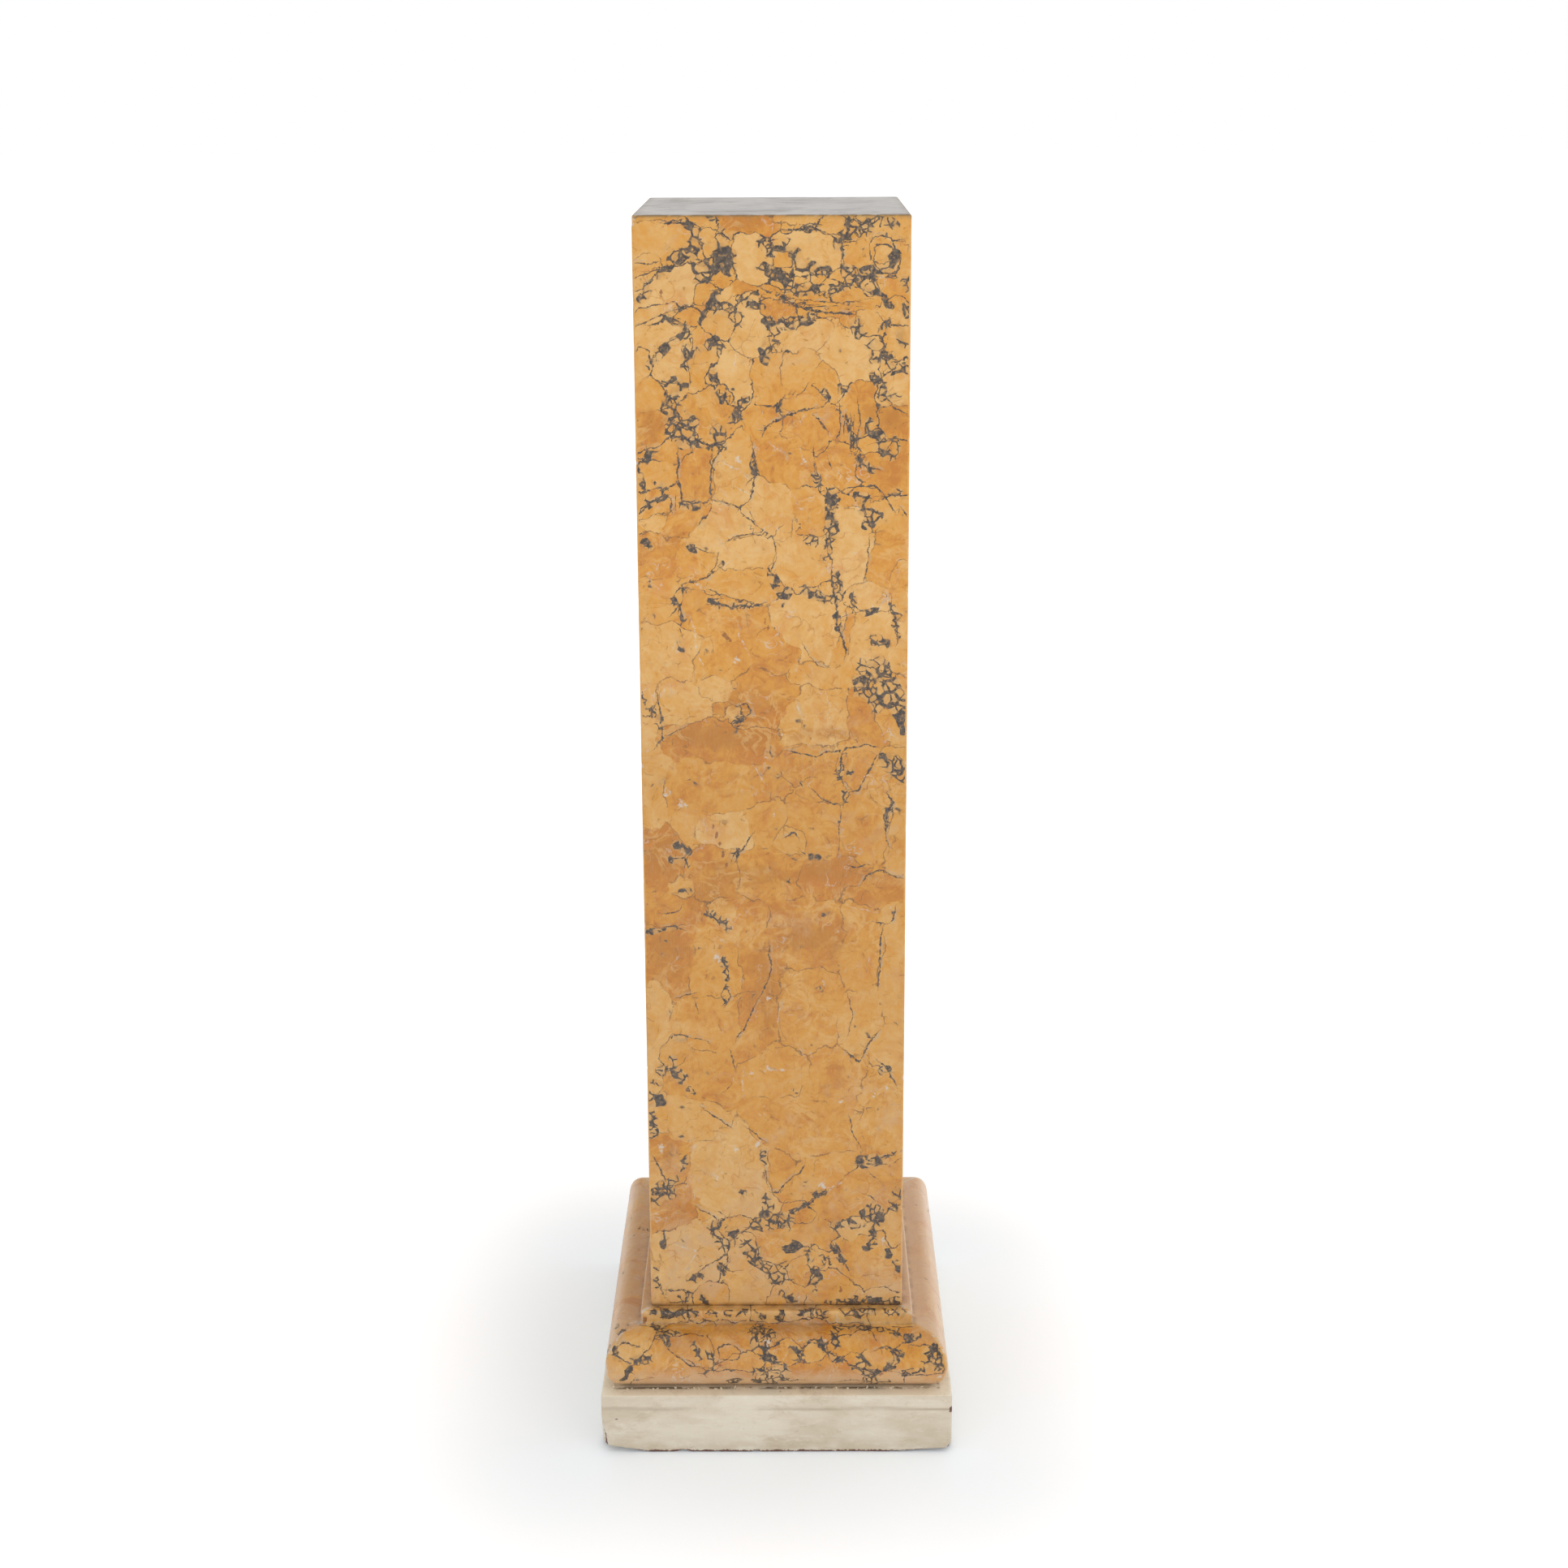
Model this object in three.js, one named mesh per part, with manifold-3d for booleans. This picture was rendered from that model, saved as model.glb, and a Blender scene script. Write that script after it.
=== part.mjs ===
// A scagliola column: a square shaft on a mitred base moulding and a low painted plinth block.
//
// Millimetres, +Z up. The origin is the centre of the plinth's underside. X runs to the right along
// the front, and the front faces -Y.

import * as THREE from 'three';
import { mergeVertices } from 'three/addons/utils/BufferGeometryUtils.js';
import Module from 'manifold-3d';

// Shaft
const SHAFT_WIDTH = 250;
const SHAFT_HEIGHT = 1079;
const SHAFT_ARRIS_RADIUS = 2;
const SHAFT_TOP_RADIUS = 2.5;

// Base moulding: a fillet over a flattened torus, seen in section from the top down
const FILLET_HEIGHT = 13;
const FILLET_PROJECTION = 10;
const FILLET_ARRIS_RADIUS = 2;
const FILLET_COVE_RADIUS = 2.5;
const TORUS_HEIGHT = 56;
const TORUS_LEDGE = 13.5;
const TORUS_BULGE = 20;
const MITRE_RADIUS = 3;

// Plinth
const PLINTH_HEIGHT = 62;
const PLINTH_OVERHANG = 4.5;
const PLINTH_CORNER_RADIUS = 2;
const PLINTH_ARRIS_RADIUS = 1.5;

// Worn corners. Each cut takes a corner off along three legs: along the front, along the side and up
// or down the upright arris.
const SHAFT_TOP_WEAR = [
  { side: -1, front: -1, legs: [6, 9, 10] },
  { side: 1, front: -1, legs: [5, 5, 6] },
  { side: 1, front: 1, legs: [7, 5, 6] },
];
const PLINTH_FOOT_WEAR = [
  { side: -1, front: -1, legs: [9, 14, 44] },
  { side: -1, front: -1, legs: [52, 30, 9] },
  { side: 1, front: -1, legs: [8, 10, 16] },
  { side: 1, front: -1, legs: [66, 24, 5] },
  { side: 1, front: 1, legs: [20, 34, 7] },
  { side: -1, front: 1, legs: [26, 16, 9] },
];

// How finely round stretches are cut into facets
const CORNER_STEPS = 4;
const ARRIS_STEPS = 3;
const TORUS_STEPS = 24;

const SCAGLIOLA = { color: 0xcf9a52, roughness: 0.28, metalness: 0 };
const CREAM_PAINT = { color: 0xe6dccb, roughness: 0.6, metalness: 0 };

const wasm = await Module();
wasm.setup();

// Points of a round stretch in a section, as half-width and height
function arc(centreHalf, centreHeight, radiusAcross, radiusUp, fromDegrees, toDegrees, steps) {
  const points = [];
  for (let i = 0; i <= steps; i += 1) {
    const angle = THREE.MathUtils.degToRad(fromDegrees + ((toDegrees - fromDegrees) * i) / steps);
    points.push(new THREE.Vector2(
      centreHalf + radiusAcross * Math.cos(angle),
      centreHeight + radiusUp * Math.sin(angle),
    ));
  }
  return points;
}

// One point of a square with rounded corners, counted anticlockwise from the middle of +X
function squarePoint(half, cornerRadius, index) {
  const radius = Math.min(cornerRadius, half);
  const corner = Math.floor(index / (CORNER_STEPS + 1));
  const step = index % (CORNER_STEPS + 1);
  const angle = (corner + step / CORNER_STEPS) * (Math.PI / 2);
  const diagonal = (corner + 0.5) * (Math.PI / 2);
  return new THREE.Vector2(
    Math.sign(Math.cos(diagonal)) * (half - radius) + radius * Math.cos(angle),
    Math.sign(Math.sin(diagonal)) * (half - radius) + radius * Math.sin(angle),
  );
}

// A section run round a square, as a mitred moulding is: a lathe whose rounds are pressed square
function mitred(profile, cornerRadius) {
  const around = 4 * (CORNER_STEPS + 1);
  const geometry = new THREE.LatheGeometry(profile, around);
  const position = geometry.attributes.position;
  for (let i = 0; i <= around; i += 1) {
    profile.forEach((point, j) => {
      const place = squarePoint(point.x, cornerRadius, i % around);
      position.setXYZ(i * profile.length + j, place.x, place.y, point.y);
    });
  }
  return geometry;
}

function toSolid(geometry) {
  const bare = new THREE.BufferGeometry();
  bare.setAttribute('position', geometry.attributes.position);
  bare.setIndex(geometry.index);
  const merged = mergeVertices(bare, 1e-4);
  const triVerts = [];
  const index = merged.index.array;
  for (let i = 0; i < index.length; i += 3) {
    const [a, b, c] = index.slice(i, i + 3);
    if (a !== b && b !== c && c !== a) triVerts.push(a, b, c);
  }
  return new wasm.Manifold(new wasm.Mesh({
    numProp: 3,
    vertProperties: Float32Array.from(merged.attributes.position.array),
    triVerts: Uint32Array.from(triVerts),
  }));
}

function toGeometry(solid) {
  const mesh = solid.getMesh();
  const geometry = new THREE.BufferGeometry();
  geometry.setAttribute('position', new THREE.BufferAttribute(mesh.vertProperties, 3));
  geometry.setIndex(new THREE.BufferAttribute(mesh.triVerts, 1));
  geometry.computeVertexNormals();
  return geometry;
}

// A block whose lower face cuts a corner off along its three legs. The corner is at (x, y, z), and
// each leg runs from it into the piece, whose middle is towards `inward` on each axis.
function cornerCut(corner, inward, legs) {
  const outward = new THREE.Vector3(
    -inward.x / legs[0],
    -inward.y / legs[1],
    -inward.z / legs[2],
  ).normalize();
  const onFace = corner.clone();
  onFace.x += inward.x * legs[0];
  const middle = corner.clone();
  middle.addScaledVector(outward, onFace.clone().sub(corner).dot(outward));
  const reach = 4 * Math.max(...legs);
  const block = new THREE.BoxGeometry(reach, reach, reach);
  block.translate(0, 0, reach / 2);
  block.applyQuaternion(new THREE.Quaternion().setFromUnitVectors(new THREE.Vector3(0, 0, 1), outward));
  block.translate(middle.x, middle.y, middle.z);
  return toSolid(block);
}

// Takes the worn corners off the top or the foot of a square piece
function withWornCorners(geometry, half, height, atTop, wear) {
  let solid = toSolid(geometry);
  wear.forEach(({ side, front, legs }) => {
    const corner = new THREE.Vector3(side * half, front * half, atTop ? height : 0);
    const inward = new THREE.Vector3(-side, -front, atTop ? -1 : 1);
    solid = solid.subtract(cornerCut(corner, inward, legs));
  });
  return toGeometry(solid);
}

function piece(name, geometry, finish, height) {
  const mesh = new THREE.Mesh(geometry, new THREE.MeshStandardMaterial(finish));
  mesh.name = name;
  mesh.position.z = height;
  return mesh;
}

const SHAFT_HALF = SHAFT_WIDTH / 2;
const FILLET_HALF = SHAFT_HALF + FILLET_PROJECTION;
const TORUS_SPRING_HALF = FILLET_HALF + TORUS_LEDGE;
const PLINTH_HALF = TORUS_SPRING_HALF + TORUS_BULGE + PLINTH_OVERHANG;
const MOULDING_HEIGHT = TORUS_HEIGHT + FILLET_HEIGHT;

// The shaft stands square-edged on the moulding and has an eased arris round its top
function shaft() {
  const profile = [
    new THREE.Vector2(0, 0),
    new THREE.Vector2(SHAFT_HALF, 0),
    ...arc(
      SHAFT_HALF - SHAFT_TOP_RADIUS,
      SHAFT_HEIGHT - SHAFT_TOP_RADIUS,
      SHAFT_TOP_RADIUS,
      SHAFT_TOP_RADIUS,
      0,
      90,
      ARRIS_STEPS,
    ),
    new THREE.Vector2(0, SHAFT_HEIGHT),
  ];
  return withWornCorners(
    mitred(profile, SHAFT_ARRIS_RADIUS), SHAFT_HALF, SHAFT_HEIGHT, true, SHAFT_TOP_WEAR,
  );
}

// From the underside up: the torus, its flat ledge, a small cove and the fillet
function baseMoulding() {
  const profile = [
    new THREE.Vector2(0, 0),
    ...arc(
      TORUS_SPRING_HALF, TORUS_HEIGHT / 2, TORUS_BULGE, TORUS_HEIGHT / 2, -90, 90, TORUS_STEPS,
    ),
    ...arc(
      FILLET_HALF + FILLET_COVE_RADIUS,
      TORUS_HEIGHT + FILLET_COVE_RADIUS,
      FILLET_COVE_RADIUS,
      FILLET_COVE_RADIUS,
      270,
      180,
      ARRIS_STEPS,
    ),
    ...arc(
      FILLET_HALF - FILLET_ARRIS_RADIUS,
      MOULDING_HEIGHT - FILLET_ARRIS_RADIUS,
      FILLET_ARRIS_RADIUS,
      FILLET_ARRIS_RADIUS,
      0,
      90,
      ARRIS_STEPS,
    ),
    new THREE.Vector2(0, MOULDING_HEIGHT),
  ];
  return toGeometry(toSolid(mitred(profile, MITRE_RADIUS)));
}

function plinth() {
  const eased = PLINTH_HALF - PLINTH_ARRIS_RADIUS;
  const profile = [
    new THREE.Vector2(0, 0),
    ...arc(
      eased, PLINTH_ARRIS_RADIUS, PLINTH_ARRIS_RADIUS, PLINTH_ARRIS_RADIUS, -90, 0, ARRIS_STEPS,
    ),
    ...arc(
      eased,
      PLINTH_HEIGHT - PLINTH_ARRIS_RADIUS,
      PLINTH_ARRIS_RADIUS,
      PLINTH_ARRIS_RADIUS,
      0,
      90,
      ARRIS_STEPS,
    ),
    new THREE.Vector2(0, PLINTH_HEIGHT),
  ];
  return withWornCorners(
    mitred(profile, PLINTH_CORNER_RADIUS), PLINTH_HALF, PLINTH_HEIGHT, false, PLINTH_FOOT_WEAR,
  );
}

const column = new THREE.Group();
column.add(
  piece('plinth', plinth(), CREAM_PAINT, 0),
  piece('base_moulding', baseMoulding(), SCAGLIOLA, PLINTH_HEIGHT),
  piece('shaft', shaft(), SCAGLIOLA, PLINTH_HEIGHT + MOULDING_HEIGHT),
);

export default column;
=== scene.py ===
"""A scagliola pedestal column: marbled square shaft, mitred base moulding and a painted plinth.

Laid out as an add-on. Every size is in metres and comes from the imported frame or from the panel's
settings; the marbling is laid out in millimetres, face by face.
"""

import math
import random

import bmesh
import bpy
import numpy as np
from mathutils import Matrix, Vector, noise


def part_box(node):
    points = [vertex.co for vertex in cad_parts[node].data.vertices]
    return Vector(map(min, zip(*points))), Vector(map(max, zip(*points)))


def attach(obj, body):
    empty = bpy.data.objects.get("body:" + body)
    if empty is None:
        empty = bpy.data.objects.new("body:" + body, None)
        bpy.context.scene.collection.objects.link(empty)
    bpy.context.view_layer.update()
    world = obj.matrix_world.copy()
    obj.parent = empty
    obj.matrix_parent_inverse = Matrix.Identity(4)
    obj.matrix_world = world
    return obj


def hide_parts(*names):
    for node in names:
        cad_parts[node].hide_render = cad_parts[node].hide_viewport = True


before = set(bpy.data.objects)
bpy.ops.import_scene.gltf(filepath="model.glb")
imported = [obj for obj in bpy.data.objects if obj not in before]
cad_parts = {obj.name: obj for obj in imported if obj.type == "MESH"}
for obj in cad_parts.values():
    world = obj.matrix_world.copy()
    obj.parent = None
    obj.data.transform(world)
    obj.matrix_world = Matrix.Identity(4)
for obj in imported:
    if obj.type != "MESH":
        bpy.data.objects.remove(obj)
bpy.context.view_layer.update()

bl_info = {
    "name": "Scagliola column",
    "version": (1, 0, 0),
    "blender": (4, 5, 0),
    "location": "3D View > Sidebar > Column",
    "description": "Builds a scagliola pedestal column on its painted plinth",
    "category": "Object",
}

MM = 0.001

# What the frame says of the three solids
SHAFT_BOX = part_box("shaft")
MOULDING_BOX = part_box("base_moulding")
PLINTH_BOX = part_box("plinth")
SHAFT_HALF = SHAFT_BOX[1][0]
SHAFT_FOOT = SHAFT_BOX[0][2]
SHAFT_TOP = SHAFT_BOX[1][2]
MOULDING_HALF = MOULDING_BOX[1][0]
MOULDING_FOOT = MOULDING_BOX[0][2]
MOULDING_TOP = MOULDING_BOX[1][2]
PLINTH_HALF = PLINTH_BOX[1][0]
PLINTH_TOP = PLINTH_BOX[1][2]

# The four faces of a square piece, anticlockwise from the right-hand one
RIGHT, BACK, LEFT, FRONT = range(4)
ARRIS = -1

# The two heights that the layouts below were drawn for, in millimetres: the shaft's front, and the
# base moulding's front along its section. They are stretched to the real heights.
DRAWN_SHAFT = 1068
DRAWN_BASE = 108

# Large clasts of the shaft's front, from the top down, in millimetres from the middle of its foot:
# across, up, half width, half height, lean in degrees, tone from 0 (pale honey) to 1 (deep ochre)
FRONT_CLASTS = [
    (-97, 1044, 29, 15, 0, 0.45), (-103, 1066, 24, 5, 0, 0.5), (-62, 1064, 15, 7, -25, 0.55),
    (-55, 1045, 9, 9, 30, 0.4), (-22, 1060, 22, 12, 0, 0.85), (24, 1064, 26, 5, 0, 0.5),
    (15, 1057, 6, 4, 0, 0.7), (25, 1057, 6, 4, 0, 0.65), (52, 1058, 10, 8, 0, 0.4),
    (84, 1059, 6, 6, 20, 0.35), (115, 1060, 10, 12, 0, 0.5), (38, 1036, 25, 17, -10, 0.22),
    (85, 1036, 24, 15, 15, 0.5), (98, 1035, 12, 12, 0, 0.38), (-20, 1026, 14, 26, -6, 0.2),
    (-112, 1026, 13, 8, 20, 0.5), (-90, 1003, 32, 14, 14, 0.2), (-46, 1014, 10, 12, -30, 0.6),
    (-112, 1012, 12, 6, 30, 0.45), (-57, 999, 10, 7, 30, 0.6), (-26, 1004, 12, 6, -10, 0.78),
    (-40, 993, 10, 8, 0, 0.18), (12, 1024, 7, 9, 20, 0.6), (12, 1008, 9, 7, 0, 0.55),
    (30, 1009, 12, 5, 10, 0.5), (53, 1002, 8, 6, 0, 0.35), (60, 1012, 10, 8, -20, 0.4),
    (86, 1002, 7, 5, 0, 0.4), (75, 995, 34, 8, 0, 0.6), (30, 994, 34, 7, -8, 0.68),
    (8, 983, 16, 9, -10, 0.82), (60, 984, 40, 5, 4, 0.7), (-74, 977, 14, 7, 10, 0.72),
    (-104, 978, 20, 7, 22, 0.35), (-104, 960, 22, 13, 22, 0.28), (-92, 937, 15, 20, -32, 0.3),
    (-63, 945, 10, 26, -6, 0.5), (-47, 969, 14, 12, 0, 0.42), (-22, 962, 15, 24, -8, 0.22),
    (-35, 930, 17, 26, 10, 0.26), (-43, 907, 8, 7, 0, 0.55), (-52, 884, 19, 20, 15, 0.62),
    (-4, 914, 14, 22, -6, 0.55), (30, 960, 26, 12, 5, 0.22), (68, 947, 22, 26, 25, 0.18),
    (88, 970, 13, 13, 0, 0.4), (69, 975, 7, 9, 0, 0.72), (108, 985, 9, 12, 0, 0.5),
    (112, 953, 9, 9, 0, 0.38), (104, 936, 8, 6, 0, 0.3), (113, 912, 14, 18, -30, 0.25),
    (26, 930, 18, 16, 0, 0.42), (45, 918, 14, 14, 20, 0.6), (28, 900, 24, 8, 20, 0.58),
    (110, 884, 15, 13, -20, 0.8), (82, 896, 14, 24, 0, 0.76), (36, 872, 34, 18, -20, 0.76),
    (-8, 884, 20, 15, 20, 0.66), (-112, 905, 10, 20, -20, 0.62), (-116, 935, 8, 18, 0, 0.35),
    (-112, 876, 12, 14, 0, 0.85), (-84, 856, 22, 8, 10, 0.76), (-35, 843, 17, 32, -4, 0.42),
    (-71, 838, 13, 34, 0, 0.72), (92, 860, 11, 10, 0, 0.6), (12, 846, 26, 18, -15, 0.76),
    (58, 845, 16, 30, 10, 0.72), (104, 838, 22, 15, -10, 0.8), (-106, 833, 12, 11, 0, 0.5),
    (-106, 811, 17, 9, 28, 0.7), (-110, 788, 12, 9, 25, 0.35), (-84, 791, 26, 11, 22, 0.76),
    (-104, 762, 20, 17, 10, 0.8), (-74, 756, 20, 14, -28, 0.62), (-50, 786, 30, 17, 25, 0.27),
    (-6, 806, 24, 20, -30, 0.36), (-24, 762, 26, 14, 8, 0.3), (-34, 733, 34, 13, -8, 0.52),
    (32, 802, 14, 18, 10, 0.64), (13, 784, 7, 9, 0, 0.35), (26, 750, 24, 21, 0, 0.36),
    (74, 766, 17, 34, -10, 0.18), (75, 812, 18, 7, 0, 0.72), (106, 792, 18, 14, -30, 0.5),
    (106, 756, 17, 22, 0, 0.72), (89, 720, 18, 13, 0, 0.34), (50, 728, 8, 8, 0, 0.45),
    (34, 694, 26, 32, -8, 0.27), (90, 686, 22, 16, 0, 0.3), (66, 682, 6, 22, -14, 0.6),
    (-50, 700, 34, 18, -8, 0.72), (-106, 715, 16, 20, 0, 0.5), (-98, 668, 28, 24, 0, 0.36),
    (-45, 664, 30, 18, 10, 0.66), (2, 668, 22, 16, 0, 0.7), (46, 644, 26, 10, -6, 0.5),
    (116, 735, 8, 26, 0, 0.55), (-90, 620, 22, 19, 0, 0.38), (-117, 624, 8, 11, 0, 0.4),
    (-52, 631, 15, 8, -40, 0.36), (-32, 611, 10, 6, 0, 0.3), (-14, 624, 28, 22, 0, 0.86),
    (42, 604, 27, 22, 0, 0.46), (86, 601, 12, 21, 35, 0.84), (106, 606, 13, 18, 30, 0.55),
    (-58, 580, 44, 16, -4, 0.92), (30, 561, 22, 13, -10, 0.76), (79, 557, 17, 19, -22, 0.7),
    (106, 545, 14, 20, 0, 0.6), (50, 534, 17, 14, 0, 0.7), (-62, 540, 42, 20, 0, 0.68),
    (-114, 545, 11, 38, 0, 0.42), (-47, 492, 23, 13, -8, 0.24), (84, 490, 21, 29, 0, 0.74),
    (44, 494, 20, 26, 0, 0.7), (18, 484, 13, 13, 0, 0.5), (-10, 500, 14, 16, 0, 0.62),
    (-82, 497, 10, 15, 0, 0.6), (-106, 468, 18, 23, 0, 0.95), (-90, 440, 9, 10, 0, 0.5),
    (-60, 455, 22, 17, 0, 0.86), (-6, 455, 26, 17, 0, 0.76), (56, 452, 32, 14, 0, 0.95),
    (98, 438, 21, 15, 10, 0.86), (116, 485, 8, 28, 0, 0.6), (-102, 414, 22, 13, -10, 0.88),
    (-51, 412, 10, 9, -20, 0.42), (-35, 395, 8, 8, 0, 0.45), (-100, 366, 22, 30, 0, 0.88),
    (-60, 358, 24, 30, 0, 0.66), (-15, 362, 16, 42, 14, 0.84), (-58, 300, 26, 28, 0, 0.66),
    (-18, 298, 18, 34, -24, 0.82), (30, 382, 30, 24, 0, 0.82), (30, 312, 28, 34, 0, 0.66),
    (85, 372, 16, 38, 0, 0.66), (84, 302, 15, 34, -4, 0.48), (113, 345, 10, 50, 0, 0.5),
    (-115, 300, 9, 42, 0, 0.38), (-98, 268, 16, 14, 0, 0.56), (-70, 248, 28, 22, 0, 0.68),
    (2, 252, 32, 18, 0, 0.6), (104, 272, 18, 20, 0, 0.46), (60, 244, 28, 22, 0, 0.7),
    (102, 236, 20, 14, 0, 0.6), (-90, 199, 30, 17, -10, 0.4), (-104, 160, 15, 22, 10, 0.82),
    (-119, 140, 7, 16, 0, 0.5), (-44, 140, 33, 36, -10, 0.32), (38, 187, 44, 22, -6, 0.68),
    (102, 184, 20, 18, 0, 0.6), (2, 148, 12, 20, -8, 0.66), (44, 142, 30, 14, 30, 0.62),
    (86, 124, 32, 18, 12, 0.76), (-98, 104, 22, 20, 20, 0.88), (-84, 58, 25, 40, -18, 0.3),
    (-70, 97, 8, 8, 0, 0.45), (-40, 86, 12, 8, 20, 0.62), (-34, 50, 12, 20, -20, 0.5),
    (14, 70, 30, 17, 0, 0.72), (22, 97, 12, 8, 0, 0.72), (-24, 26, 24, 19, -10, 0.4),
    (24, 42, 12, 14, 0, 0.72), (40, 52, 8, 12, 20, 0.6), (88, 46, 24, 24, 0, 0.64),
    (80, 81, 15, 8, 6, 0.36), (116, 84, 8, 18, 0, 0.5), (62, 20, 20, 14, 0, 0.6),
    (106, 12, 13, 5, 0, 0.4), (-66, 14, 16, 9, 0, 0.55), (2, 12, 14, 11, 0, 0.62),
    (-119, 11, 6, 9, 0, 0.45), (-98, 11, 8, 6, 0, 0.4),
]

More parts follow.
